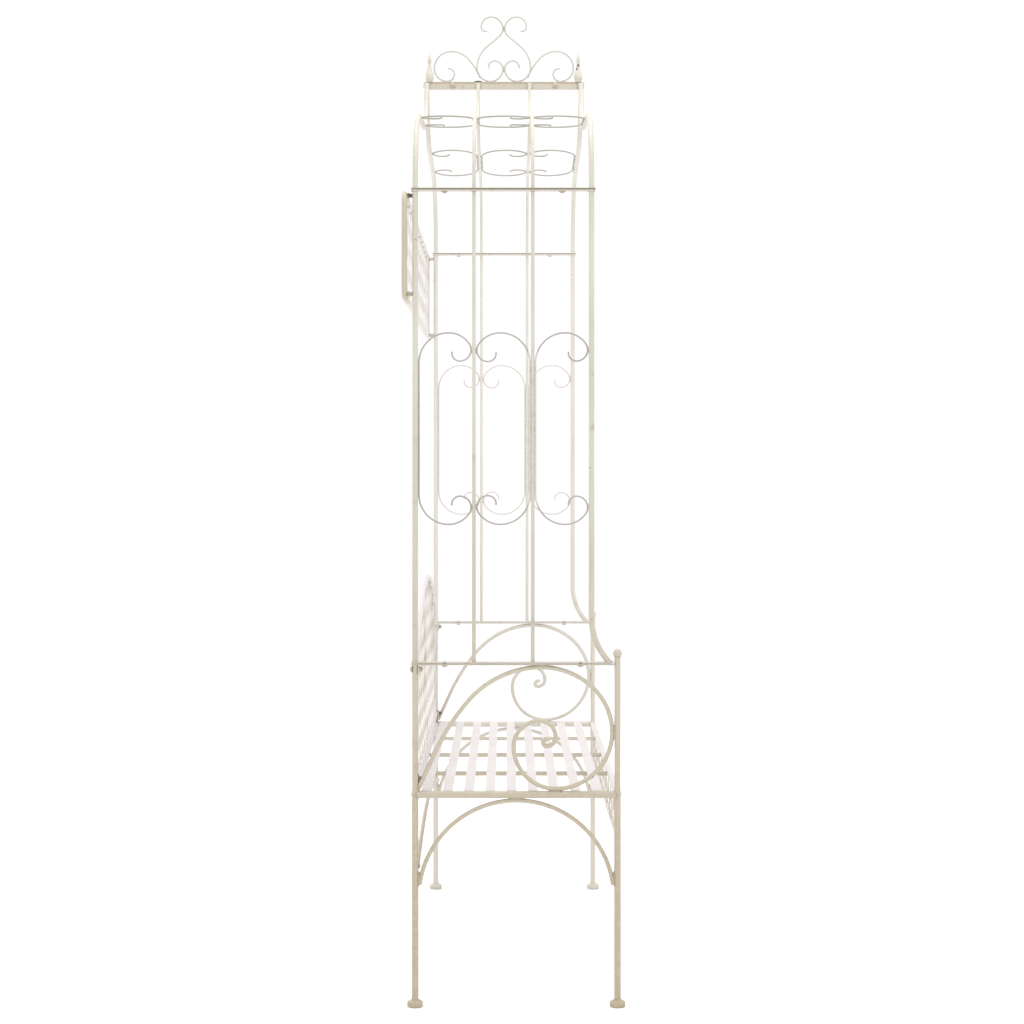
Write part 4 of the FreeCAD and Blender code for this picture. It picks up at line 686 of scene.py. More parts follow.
class Template:
    """Small shapes that pieces are gathered from."""

    MERGE = 1e-6
    RING_SIDES = 6
    RING_STEPS = 20
    RIPPLES = 10
    RIPPLE_DEPTH = 0.16
    RIPPLE_START = 0.4
    TACK_SIDES = 6
    TACK_BLUNTNESS = 0.7
    THREAD_SIDES = 3
    TURN_STEPS = 14
    HEX_POINTS = 24
    NUT_LAND = 0.94
    NUT_CHAMFER = math.radians(30)
    PLUG_SIDES = 20
    PLUG_FIT = 0.97
    PLUG_ROUND = 0.8
    PLUG_STEPS = 3

    @staticmethod
    def closed(shape: bmesh.types.BMesh, name: str) -> bpy.types.Mesh:
        """Merge doubles, turn the faces outwards and keep the shape as a mesh.

        Args:
            shape: the finished shape, which is freed.
            name: the mesh's name.

        Returns:
            The mesh.
        """
        bmesh.ops.remove_doubles(shape, verts=shape.verts, dist=Template.MERGE)
        bmesh.ops.recalc_face_normals(shape, faces=shape.faces)
        mesh = bpy.data.meshes.new(name)
        shape.to_mesh(mesh)
        shape.free()
        return mesh

    @staticmethod
    def edges_of(verts: Sequence[bmesh.types.BMVert]) -> list[bmesh.types.BMEdge]:
        """The edges that join some vertices, each once."""
        return list(dict.fromkeys(edge for vert in verts for edge in vert.link_edges))

    @classmethod
    def ring(cls, radius: float, bead: float) -> bpy.types.Mesh:
        """A rippled weld bead round a rod that stands on a flat face.

        Args:
            radius: the rod's radius.
            bead: the bead's own radius.

        Returns:
            The bead round the Z axis.
        """
        shape = bmesh.new()
        stand = Matrix.Translation((radius, 0, 0)) @ Matrix.Rotation(math.pi / 2, 4, "X")
        loop = bmesh.ops.create_circle(shape, segments=cls.RING_SIDES, radius=bead, matrix=stand)["verts"]
        bmesh.ops.spin(
            shape, geom=[*loop, *cls.edges_of(loop)], cent=(0, 0, 0), axis=UP,
            angle=2 * math.pi, steps=cls.RING_STEPS, use_merge=True,
        )
        for vert in shape.verts:
            turn = math.atan2(vert.co.y, vert.co.x)
            middle = Vector((radius * math.cos(turn), radius * math.sin(turn), 0))
            ripple = math.sin(cls.RIPPLES * turn + cls.RIPPLE_START)
            vert.co = middle + (vert.co - middle) * (1 + cls.RIPPLE_DEPTH * ripple)
        return cls.closed(shape, "ring_bead")

    @classmethod
    def saddle(cls, rail: float, leg: float, bead: float) -> bpy.types.Mesh:
        """A weld bead where a rail along X meets an upright leg.

        Args:
            rail: the rail's radius.
            leg: the leg's radius.
            bead: the bead's own radius.

        Returns:
            The bead, with the leg's axis on the origin and the rail leaving along +X.
        """
        mesh = cls.ring(rail, bead)
        mesh.transform(Matrix.Rotation(math.pi / 2, 4, "Y"))
        for vert in mesh.vertices:
            side = rail * vert.co.y / math.hypot(vert.co.y, vert.co.z)
            vert.co.x += math.sqrt(max(0.0, leg ** 2 - side ** 2))
        return mesh

    @classmethod
    def tack(cls) -> bpy.types.Mesh:
        """A short tack weld.

        Returns:
            The bead, of unit radius, its length along X.
        """
        shape = bmesh.new()
        lie = Matrix.Rotation(math.pi / 2, 4, "Y")
        bmesh.ops.create_uvsphere(
            shape, u_segments=cls.TACK_SIDES, v_segments=cls.TACK_SIDES, radius=1.0, matrix=lie
        )
        for vert in shape.verts:
            vert.co.x = math.copysign(abs(vert.co.x) ** cls.TACK_BLUNTNESS, vert.co.x)
        return cls.closed(shape, "tack_bead")

    @classmethod
    def thread(cls, radius: float, length: float, pitch: float) -> bpy.types.Mesh:
        """The thread on a bolt's bare end.

        Args:
            radius: the bolt's radius.
            length: length of the thread.
            pitch: its rise in one turn.

        Returns:
            The thread along +Z from the origin.
        """
        shape = bmesh.new()
        stand = Matrix.Translation((radius, 0, pitch / 2)) @ Matrix.Rotation(math.pi / 2, 4, "X")
        ridge = bmesh.ops.create_circle(
            shape, segments=cls.THREAD_SIDES, radius=pitch / 2, matrix=stand
        )["verts"]
        turns = length / pitch - 1
        bmesh.ops.spin(
            shape, geom=[*ridge, *cls.edges_of(ridge)], cent=(0, 0, 0), axis=UP,
            dvec=(0, 0, pitch / cls.TURN_STEPS), angle=2 * math.pi * turns,
            steps=round(cls.TURN_STEPS * turns),
        )
        open_edges = [edge for edge in shape.edges if edge.is_boundary]
        bmesh.ops.holes_fill(shape, edges=open_edges, sides=cls.THREAD_SIDES)
        return cls.closed(shape, "thread")

    @classmethod
    def hex_nut(cls, width: float, bore: float, height: float) -> bpy.types.Mesh:
        """A nut with chamfered corners.

        Args:
            width: across its flats.
            bore: the hole's radius.
            height: its height.

        Returns:
            The nut along +Z from the origin.
        """
        shape = bmesh.new()
        flat = width / 2
        land = flat * cls.NUT_LAND
        sixth = math.pi / 3
        loops = []
        for level in (height, 0.0):
            inward = -1 if level else 1
            for radius in (bore, land, None):
                verts = bmesh.ops.create_circle(
                    shape, segments=cls.HEX_POINTS, radius=radius or flat
                )["verts"]
                for vert in verts:
                    if radius is None:
                        turn = math.atan2(vert.co.y, vert.co.x)
                        vert.co *= 1 / math.cos((turn + sixth / 2) % sixth - sixth / 2)
                    drop = max(0.0, vert.co.length - land) * math.tan(cls.NUT_CHAMFER)
                    vert.co.z = level + inward * drop
                loops.append(cls.edges_of(verts))
        for first, second in ((0, 1), (1, 2), (2, 5), (5, 4), (4, 3), (3, 0)):
            bmesh.ops.bridge_loops(shape, edges=loops[first] + loops[second])
        return cls.closed(shape, "hex_nut")

    @classmethod
    def turned(cls, outline: Sequence[tuple[float, float]]) -> bpy.types.Mesh:
        """A shape turned on a lathe.

        Args:
            outline: radii and heights, from the axis at the bottom to the axis at the top.

        Returns:
            The shape round the Z axis.
        """
        shape = bmesh.new()
        end = bmesh.ops.create_vert(shape, co=(outline[0][0], 0, outline[0][1]))["vert"][0]
        for radius, height in outline[1:]:
            end = bmesh.ops.extrude_vert_indiv(shape, verts=[end])["verts"][0]
            end.co = (radius, 0, height)
        bmesh.ops.spin(
            shape, geom=[*shape.verts, *shape.edges], cent=(0, 0, 0), axis=UP,
            angle=2 * math.pi, steps=cls.RING_STEPS, use_merge=True,
        )
        return cls.closed(shape, "turned")

    @classmethod
    def plug(cls, radius: float, height: float) -> bpy.types.Mesh:
        """A domed plug in the open end of a tube, facing up.

        Args:
            radius: the tube's radius.
            height: how far the plug stands out.

        Returns:
            The plug, its seat on the origin.
        """
        shape = bmesh.new()
        fit = radius * cls.PLUG_FIT
        bmesh.ops.create_cone(
            shape, cap_ends=True, segments=cls.PLUG_SIDES, radius1=fit, radius2=fit, depth=height
        )
        top = [edge for edge in shape.edges if all(vert.co.z > 0 for vert in edge.verts)]
        bmesh.ops.bevel(
            shape, geom=top, offset=height * cls.PLUG_ROUND, affect="EDGES", segments=cls.PLUG_STEPS,
            profile=0.5, material=-1,
        )
        bmesh.ops.translate(shape, verts=shape.verts, vec=(0, 0, height / 2))
        return cls.closed(shape, "plug")


def wear(piece: bpy.types.Object, finish: bpy.types.Material) -> None:
    """Give a piece its finish on its own slots, over the plain material that its mesh keeps.

    Args:
        piece: the piece.
        finish: its material.
    """
    for slot in piece.material_slots:
        slot.link = "OBJECT"
        slot.material = finish


@dataclass(frozen=True)
class Bead:
    """A short weld, in metres: its size, and how far it lies from the middle of a joint that has two."""

    length: float
    width: float
    off: float = 0.0


class Piece:
    """One new piece, gathered from copies of templates."""

    def __init__(self, name: str, slot: Slot, finish: bpy.types.Material, smooth: bool = True) -> None:
        """Start a piece.

        Args:
            name: its name.
            slot: the record's finish that it stands for.
            finish: its material.
            smooth: whether its faces are shaded round.
        """
        self.name, self.slot, self.finish, self.smooth = name, slot, finish, smooth
        self.shape = bmesh.new()
        self.tack_shape = Template.tack()

    def stamp(self, template: bpy.types.Mesh, place: Matrix) -> None:
        """Add a copy of a template.

        Args:
            template: the mesh to copy.
            place: where it goes.
        """
        first = len(self.shape.verts)
        self.shape.from_mesh(template)
        self.shape.verts.ensure_lookup_table()
        bmesh.ops.transform(self.shape, matrix=place, verts=self.shape.verts[first:])

    def tack(self, point: Vector, along: Vector, bead: Bead) -> None:
        """Add one tack weld.

        Args:
            point: its middle.
            along: the way it runs.
            bead: its size.
        """
        turn = along.to_track_quat("X", "Z").to_matrix().to_4x4()
        size = Matrix.Diagonal((bead.length / 2, bead.width / 2, bead.width / 2, 1))
        self.stamp(self.tack_shape, Matrix.Translation(point) @ turn @ size)

    def pair(self, point: Vector, along: Vector, across: Vector, bead: Bead) -> None:
        """Add a tack weld on each face of a joint, running along it and set off across it."""
        for sign in (1, -1):
            self.tack(point + sign * (bead.off * across), along, bead)

    def done(self, *replaced: str) -> None:
        """Turn the gathered shape into an object that rides on the bench.

        Args:
            replaced: CAD nodes that it stands for.
        """
        mesh = bpy.data.meshes.new(self.name)
        for face in self.shape.faces:
            face.smooth = self.smooth
        self.shape.to_mesh(mesh)
        self.shape.free()
        bpy.data.meshes.remove(self.tack_shape)
        mesh.materials.append(bpy.data.materials[self.slot.value])
        made = bpy.data.objects.new(self.name, mesh)
        bpy.context.scene.collection.objects.link(made)
        wear(made, self.finish)
        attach(made, BODY)
        if replaced:
            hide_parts(*replaced)
        log.info("%s: %d faces", self.name, len(mesh.polygons))


def turned_to(point: Vector, way: Vector, axis: str = "Z") -> Matrix:
    """Place a template with its origin at a point and one of its axes along a direction."""
    other = "Y" if axis == "Z" else "Z"
    return Matrix.Translation(point) @ way.to_track_quat(axis, other).to_matrix().to_4x4()


@dataclass
class SubAssembly(ABC):
    """CAD pieces that belong together, with the small pieces made for them."""

    finishes: Finishes

    @abstractmethod
    def dressed(self) -> Mapping[str, bpy.types.Material]:
        """The finish of each CAD node."""

    @abstractmethod
    def build(self) -> None:
        """Make the new pieces."""

    def dress(self) -> None:
        """Give each CAD node its finish."""
        for name, finish in self.dressed().items():
            wear(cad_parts[name], finish)
            log.info("%s wears %s", name, finish.name)

    def welds(self, name: str) -> Piece:
        """Start a set of painted welds."""
        return Piece(name, Slot.PAINT, self.finishes.weld)

    @staticmethod
    def both(*names: str) -> Iterator[str]:
        """The names of pieces that both sides have."""
        return (f"{name}_{side.label}" for name in names for side in Side)


@dataclass
class EndFrames(SubAssembly):
    """Legs, side rails, feet, balls, arches, arm scrolls and arm bars of the two ends."""

    foot_top: float = 0.0155
    rail_bead: float = 0.0012
    rod_bead: float = 0.0016
    scroll_top_y: float = -0.0629
    scroll_front_z: float = 0.6122
    scroll_foot_y: float = -0.0946
    scroll_tail_rise: float = 0.006
    scroll_tail_way: Triple = (0, -0.45, 1)
    arch_foot_z: float = 0.285
    arch_gap: float = 0.0006
    bar_weld: Bead = Bead(0.015, 0.0045)
    arch_foot_weld: Bead = Bead(0.034, 0.0042, 0.004)
    arch_top_weld: Bead = Bead(0.036, 0.0042, 0.0032)
    scroll_top_weld: Bead = Bead(0.030, 0.0040, 0.0032)
    scroll_front_weld: Bead = Bead(0.034, 0.0042, 0.0032)
    scroll_foot_weld: Bead = Bead(0.032, 0.0042, 0.0032)
    scroll_tail_weld: Bead = Bead(0.020, 0.0042, 0.0042)

    def dressed(self) -> Mapping[str, bpy.types.Material]:
        """Choose the finishes of the CAD nodes.

        Returns:
            The finish of each node, by its name.
        """
        tubes = self.both("rear_leg", "front_leg", "leg_arch", "arm_scroll", "seat_side_rail")
        return {
            **dict.fromkeys(tubes, self.finishes.tube),
            **dict.fromkeys(self.both("arm_bar"), self.finishes.bar),
            **dict.fromkeys(("feet", "ball_finials"), self.finishes.turned),
        }

    def build(self) -> None:
        """Weld rails, feet, balls, arches and arm scrolls."""
        welds = self.welds("end_frame_welds")
        saddle = Template.saddle(SIZES.seat_rail_radius, SIZES.leg_radius, self.rail_bead)
        foot = Template.ring(SIZES.leg_radius, self.rod_bead)
        neck = Template.ring(SIZES.arm_post_radius, self.rod_bead)
        middle_y = (SIZES.rear_y + SIZES.front_y) / 2
        post_face = SIZES.front_y + SIZES.arm_post_radius
        leg_face = SIZES.rear_y - SIZES.leg_radius
        rail_top = SIZES.seat_rail_height + SIZES.seat_rail_radius
        rail_bottom = SIZES.seat_rail_height - SIZES.seat_rail_radius
        joints = (
            (self.scroll_top_y, SIZES.arm_height, ACROSS, self.scroll_top_weld),
            (post_face, self.scroll_front_z, UP, self.scroll_front_weld),
            (self.scroll_foot_y, rail_top, ACROSS, self.scroll_foot_weld),
            (middle_y, rail_bottom, ACROSS, self.arch_top_weld),
            (leg_face, rail_top + self.scroll_tail_rise, Vector(self.scroll_tail_way), self.scroll_tail_weld),
        )
        for side in Side:
            x = side.value * SIZES.frame_x
            for y, inward in ((SIZES.rear_y, -ACROSS), (SIZES.front_y, ACROSS)):
                rail = Vector((x, y, SIZES.seat_rail_height))
                for way in (inward, -side.value * ALONG):
                    welds.stamp(saddle, turned_to(rail, way, "X"))
                welds.stamp(foot, Matrix.Translation((x, y, self.foot_top)))
                arch_end = Vector((x, y, self.arch_foot_z)) + inward * (SIZES.leg_radius + self.arch_gap)
                welds.pair(arch_end, UP, ALONG, self.arch_foot_weld)
            welds.stamp(neck, Matrix.Translation((x, SIZES.front_y, SIZES.front_leg_top)))
            bar_end = Vector((x, post_face, SIZES.arm_height + SIZES.bar_thickness / 2))
            welds.tack(bar_end, ALONG, self.bar_weld)
            for y, z, along, weld in joints:
                welds.pair(Vector((x, y, z)), along, ALONG, weld)
        welds.done()


@dataclass(frozen=True)
class ScrollForm:
    """The bends of the C-scrolls, in metres, from which their touching points follow."""

    length: float
    wire: float = 0.002
    shoulder: float = 0.066
    hook: float = 0.025
    brow_turn: float = math.radians(55)
    back_reach: float = 0.9
    weld: Bead = Bead(0.011, 0.003, 0.0017)

    def touches(self, width: float) -> tuple[tuple[float, ...], tuple[float, ...]]:
        """Where a scroll is welded.

        Args:
            width: its clear width, from wire centre to wire centre.

        Returns:
            Places along its back, and along the rod that its curls touch, from its middle.
        """
        half_back = self.length / 2 - self.wire - self.shoulder
        hook_in = self.hook * (1 - math.sin(self.brow_turn))
        brow = (width - self.shoulder - hook_in) / math.sin(self.brow_turn)
        drop = brow * (1 - math.cos(self.brow_turn)) + self.hook * math.cos(self.brow_turn)
        curl = half_back + self.shoulder - drop
        tack = self.back_reach * half_back
        return (-tack, 0.0, tack), (-curl, curl)

    def tack(
        self, welds: Piece, bays: Sequence[tuple[float, float]], middle: Vector, along: Vector, out: Vector
    ) -> None:
        """Tack a scroll in each bay to the uprights beside it.

        Args:
            welds: the set that takes the tacks.
            bays: Y of the upright at each scroll's back, and of the one that its curls touch.
            middle: a point at half the scrolls' length, in their plane.
            along: the way that they run.
            out: the way out of their plane.
        """
        for back_y, curl_y in bays:
            on_back, on_curl = self.touches(abs(back_y - curl_y) - 2 * self.wire)
            for y, spots in ((back_y, on_back), (curl_y, on_curl)):
                for spot in spots:
                    point = Vector((middle.x, y, middle.z)) + spot * along
                    welds.pair(point, along, out, self.weld)


@dataclass
class Trellises(SubAssembly):
    """The two trellises on the arms."""

    scroll: ScrollForm = ScrollForm(length=0.432)
    scroll_rise: float = 0.521
    flare_reach: float = 0.039
    flare_lean: float = 1.34
    bead: float = 0.0016

    def dressed(self) -> Mapping[str, bpy.types.Material]:
        """Choose the finishes of the CAD nodes.

        Returns:
            The finish of each node, by its name.
        """
        tubes = self.both("trellis_rear_post", "trellis_front_post", "trellis_rods")
        return {
            **dict.fromkeys(tubes, self.finishes.tube),
            **dict.fromkeys(self.both("trellis_base_bar", "trellis_top_bar"), self.finishes.bar),
            **dict.fromkeys(self.both("trellis_scrolls"), self.finishes.wire),
        }

    def build(self) -> None:
        """Weld the uprights to their bars and the scrolls to the uprights."""
        post = Template.ring(SIZES.post_radius, self.bead)
        rod = Template.ring(SIZES.rod_radius, self.bead)
        rear, middle, front = SIZES.bays
        for side in Side:
            welds = self.welds(f"trellis_welds_{side.label}")
            x = side.value * SIZES.frame_x
            for y, ring in ((SIZES.rear_y, post), *((y, rod) for y in SIZES.rods_y)):
                welds.stamp(ring, Matrix.Translation((x, y, SIZES.base_bar_top)))
                welds.stamp(ring, Matrix.Translation((x, y, SIZES.trellis_top)))
            welds.stamp(post, Matrix.Translation((x, SIZES.front_post_y, SIZES.trellis_top)))
            flare = Matrix.Translation((x, SIZES.front_post_y - self.flare_reach, SIZES.base_bar_top))
            welds.stamp(post, flare @ Matrix.Diagonal((1, self.flare_lean, 1, 1)))
            scrolls = Vector((x, 0, SIZES.base_bar_top + self.scroll_rise))
            self.scroll.tack(welds, (rear, middle[::-1], front), scrolls, UP, ALONG)
            welds.done()


@dataclass
class Roof(SubAssembly):
    """The two halves of the ogee roof, with their ridge bars."""

    scroll: ScrollForm = ScrollForm(length=0.279)
    slope: float = math.radians(5)
    steepness: float = math.radians(78)
    bead: float = 0.0016
    ridge_weld: Bead = Bead(0.018, 0.0045)
    ridge_weld_off: float = 0.95

    def dressed(self) -> Mapping[str, bpy.types.Material]:
        """Choose the finishes of the CAD nodes.

        Returns:
            The finish of each node, by its name.
        """
        tubes = self.both("roof_rear_tube", "roof_front_tube", "roof_rods")
        return {
            **dict.fromkeys(tubes, self.finishes.tube),
            **dict.fromkeys(self.both("roof_base_bar"), self.finishes.bar),
            **dict.fromkeys(self.both("ridge_bar"), self.finishes.ridge),
            **dict.fromkeys(self.both("roof_scrolls"), self.finishes.roof_wire),
        }

    def build(self) -> None:
        """Weld tubes and rods to the bars at both ends, and the scrolls to them."""
        thick, thin = SIZES.post_radius, SIZES.rod_radius
        post, rod = Template.ring(thick, self.bead), Template.ring(thin, self.bead)
        uprights = (
            (SIZES.rear_y, thick, post),
            *((y, thin, rod) for y in SIZES.rods_y),
            (SIZES.front_post_y, thick, post),
        )
        rear, middle, front = SIZES.bays
        for side in Side:
            welds = self.welds(f"roof_welds_{side.label}")
            low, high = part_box(f"ridge_bar_{side.label}")
            face = high.x if side is Side.RIGHT else low.x
            steep = Vector((-side.value * math.cos(self.steepness), 0, math.sin(self.steepness)))
            for y, radius, ring in uprights:
                welds.stamp(ring, Matrix.Translation((side.value * SIZES.frame_x, y, SIZES.roof_foot)))
                end = Vector((face + side.value * radius / 2, y, (low.z + high.z) / 2))
                weld = replace(self.ridge_weld, off=self.ridge_weld_off * radius)
                welds.pair(end, steep, ACROSS, weld)
            low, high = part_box(f"roof_scrolls_{side.label}")
            uphill = Vector((-side.value * math.cos(self.slope), 0, math.sin(self.slope)))
            out = Vector((side.value * math.sin(self.slope), 0, math.cos(self.slope)))
            self.scroll.tack(welds, (rear[::-1], middle, front[::-1]), (low + high) / 2, uphill, out)
            welds.done()


@dataclass(frozen=True)
class SpireForm:
    """A flame on a vase, turned in one piece: its stations, in metres."""

    collar: float = 0.0078
    belly: float = 0.0110
    neck: float = 0.0041
    flame: float = 0.0051
    belly_height: float = 0.012
    neck_height: float = 0.044
    flame_height: float = 0.056
    height: float = 0.082

    def outline(self, steps: int = 7) -> list[tuple[float, float]]:
        """Ease the radius from station to station.

        Args:
            steps: points on each stretch.

        Returns:
            Radii and heights, from the axis at the bottom to the point.
        """
        stations = (
            (self.collar, 0.0), (self.belly, self.belly_height), (self.neck, self.neck_height),
            (self.flame, self.flame_height), (0.0, self.height),
        )
        points = [(0.0, 0.0), stations[0]]
        for (start, low), (end, high) in zip(stations, stations[1:]):
            shares = [step / steps for step in range(1, steps + 1)]
            points += [(start + (end - start) * (3 - 2 * t) * t ** 2, low + (high - low) * t) for t in shares]
        return points


@dataclass
class Crest(SubAssembly):
    """Heart scrolls, side scrolls and spires on the ridge."""

    spire: SpireForm = SpireForm()
    heart_middle: float = 0.0336
    heart_inner: float = 0.031
    side_middle: float = 0.1443
    neck_rise: float = 0.1338
    wire: float = 0.0026
    spire_inset: float = 0.014
    bead: float = 0.0015
    foot_rise: float = 0.0003
    foot_weld: Bead = Bead(0.020, 0.0036, 0.0024)
    neck_weld: Bead = Bead(0.014, 0.0036, 0.002)
    bare_rise: float = 0.001
    bare_crown: Bead = Bead(0.020, 0.006)
    bare_sides: Bead = Bead(0.016, 0.005, 0.0035)

    def dressed(self) -> Mapping[str, bpy.types.Material]:
        """Choose the finishes of the CAD nodes."""
        wires = ("crest_heart_scrolls", "crest_side_scrolls")
        return dict.fromkeys(wires, self.finishes.crest)

    def build(self) -> None:
        """Weld the scrolls to the ridge and to each other, and the spires to the ridge."""
        low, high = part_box("ridge_bar_left")
        ridge_y, top = (low.y + high.y) / 2, high.z
        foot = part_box("crest_heart_scrolls")[0].z
        welds = self.welds("crest_welds")
        spires = Piece("flame_spires", Slot.PAINT, self.finishes.turned)
        flame = Template.turned(self.spire.outline())
        collar = Template.ring(self.spire.collar, self.bead)
        for sign in (1, -1):
            for reach in (self.heart_middle, self.side_middle):
                scroll = Vector((0, ridge_y + sign * reach, top + self.foot_rise))
                welds.pair(scroll, ACROSS, ALONG, self.foot_weld)
            stand = Vector((0, (high.y if sign > 0 else low.y) - sign * self.spire_inset, top))
            welds.stamp(collar, Matrix.Translation(stand))
            spires.stamp(flame, Matrix.Translation(stand))
        for rise in (self.heart_inner, self.neck_rise):
            welds.pair(Vector((0, ridge_y, foot + self.wire + rise)), UP, ALONG, self.neck_weld)
        welds.done()
        spires.done("spire_finials")
        bare = Piece("ridge_bare_weld", Slot.FASTENER, self.finishes.steel)
        over_rod = Vector((0, SIZES.rods_y[0], top))
        bare.tack(over_rod + self.bare_rise * UP, ACROSS, self.bare_crown)
        bare.pair(over_rod, ACROSS, ALONG, self.bare_sides)
        bare.done()


@dataclass
class Seat(SubAssembly):
    """Seat rails, slats and cross bars."""

    slat_count: int = 9
    slat_rear_inset: float = 0.0243
    slat_front_inset: float = 0.0457
    cross_bar_x: tuple[float, ...] = (-0.31125, 0.0, 0.31125)
    cross_bar_height: float = 0.010
    slat_middle: float = 0.0012
    slat_end_weld: Bead = Bead(0.0235, 0.0032)
    slat_weld: Bead = Bead(0.016, 0.0026, 0.003)
    cross_bar_weld: Bead = Bead(0.010, 0.003, 0.003)

    def dressed(self) -> Mapping[str, bpy.types.Material]:
        """Choose the finishes of the CAD nodes.

        Returns:
            The finish of each node, by its name.
        """
        return {
            "seat_front_rail": self.finishes.slat,
            "seat_rear_rail": self.finishes.slat,
            "seat_cross_bars": self.finishes.tube,
            "seat_slats": self.finishes.slat,
        }

    def build(self) -> None:
        """Tack the slats to the side rails and the cross bars."""
        welds = self.welds("seat_welds")
        low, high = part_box("seat_slats")
        gaps = self.slat_count - 1
        pitch = (SIZES.leg_spacing - self.slat_rear_inset - self.slat_front_inset) / gaps
        for index in range(self.slat_count):
            y = SIZES.rear_y - self.slat_rear_inset - index * pitch
            for end in (low.x, high.x):
                welds.tack(Vector((end, y, low.z + self.slat_middle)), ACROSS, self.slat_end_weld)
            for x in self.cross_bar_x:
                welds.pair(Vector((x, y, low.z)), ACROSS, ALONG, self.slat_weld)
        for x in self.cross_bar_x:
            for y, way in ((SIZES.rear_y, -1), (SIZES.front_y, 1)):
                end = Vector((x, y + way * SIZES.seat_rail_radius, low.z - self.cross_bar_height / 2))
                welds.pair(end, UP, ALONG, self.cross_bar_weld)
        welds.done()


@dataclass(frozen=True)
class Lattice:
    """Slanting strips in an upright frame, in metres, and where they end on it."""

    STEP = 0.0005
    SHORTEST = 0.02
    CORNER_TURN = math.radians(60)

    y: float
    bottom: float
    top: float
    half: float
    pitch: float = 0.112
    arch_radius: float = 0.0
    corner_radius: float = 0.0
    layer: float = 0.0018
    weld: Bead = Bead(0.027, 0.0032)

    def ceiling(self, x: float) -> float:
        """Height of the frame's inner edge over a point of the bottom.

        Args:
            x: the point.

        Returns:
            The height.
        """
        if not self.arch_radius:
            return self.top
        shoulder = self.half - self.corner_radius
        edge = shoulder + self.corner_radius * math.cos(self.CORNER_TURN)
        arch_z = self.top - self.arch_radius
        if abs(x) < edge:
            return arch_z + math.sqrt(self.arch_radius ** 2 - x ** 2)
        drop = self.corner_radius * math.sin(self.CORNER_TURN)
        spring = arch_z + math.sqrt(self.arch_radius ** 2 - edge ** 2) - drop
        return spring + math.sqrt(max(0.0, self.corner_radius ** 2 - (abs(x) - shoulder) ** 2))

    def inside(self, x: float, z: float) -> bool:
        """Whether a point lies within the frame."""
        return abs(x) <= self.half and self.bottom <= z <= self.ceiling(x)

    def ends(self) -> Iterator[tuple[Vector, Vector]]:
        """Both ends of every strip.

        Yields:
            A point on the frame, and the way that the frame runs there.
        """
        middle, rise = (self.bottom + self.top) / 2, self.top - self.bottom
        count = math.ceil((self.half + rise) / self.pitch)
        reach = round(rise / self.STEP)
        runs = [self.STEP * i for i in range(-reach, reach + 1)]
        for lean in (1, -1):
            for index in range(-count, count + 1):
                held = [t for t in runs if self.inside(index * self.pitch + t, middle + lean * t)]
                if len(held) * self.STEP < self.SHORTEST:
                    continue
                for t in (held[0], held[-1]):
                    x, z = index * self.pitch + t, middle + lean * t
                    on_side = self.half - abs(x) < 2 * self.STEP
                    yield Vector((x, self.y - lean * self.layer, z)), UP if on_side else ALONG

    def tack(self, welds: Piece) -> None:
        """Tack both ends of every strip."""
        for point, along in self.ends():
            welds.tack(point, along, self.weld)


@dataclass
class Apron(SubAssembly):
    """The lattice under the front edge of the seat."""

    lattice: Lattice = Lattice(y=SIZES.front_y, bottom=0.3862, top=0.4648, half=0.6148)
    bar_drop: float = 0.010
    bar_weld: Bead = Bead(0.019, 0.0036, 0.0022)

    def dressed(self) -> Mapping[str, bpy.types.Material]:
        """Choose the finishes of the CAD nodes."""
        return {"apron_bottom_bar": self.finishes.strip, "apron_lattice": self.finishes.strip}

    def build(self) -> None:
        """Weld the strips to the rail and the bottom bar."""
        welds = self.welds("apron_welds")
        self.lattice.tack(welds)
        for side in Side:
            height = self.lattice.bottom - self.bar_drop
            end = Vector((side.value * self.lattice.half, SIZES.front_y, height))
            welds.pair(end, UP, ACROSS, self.bar_weld)
        welds.done()


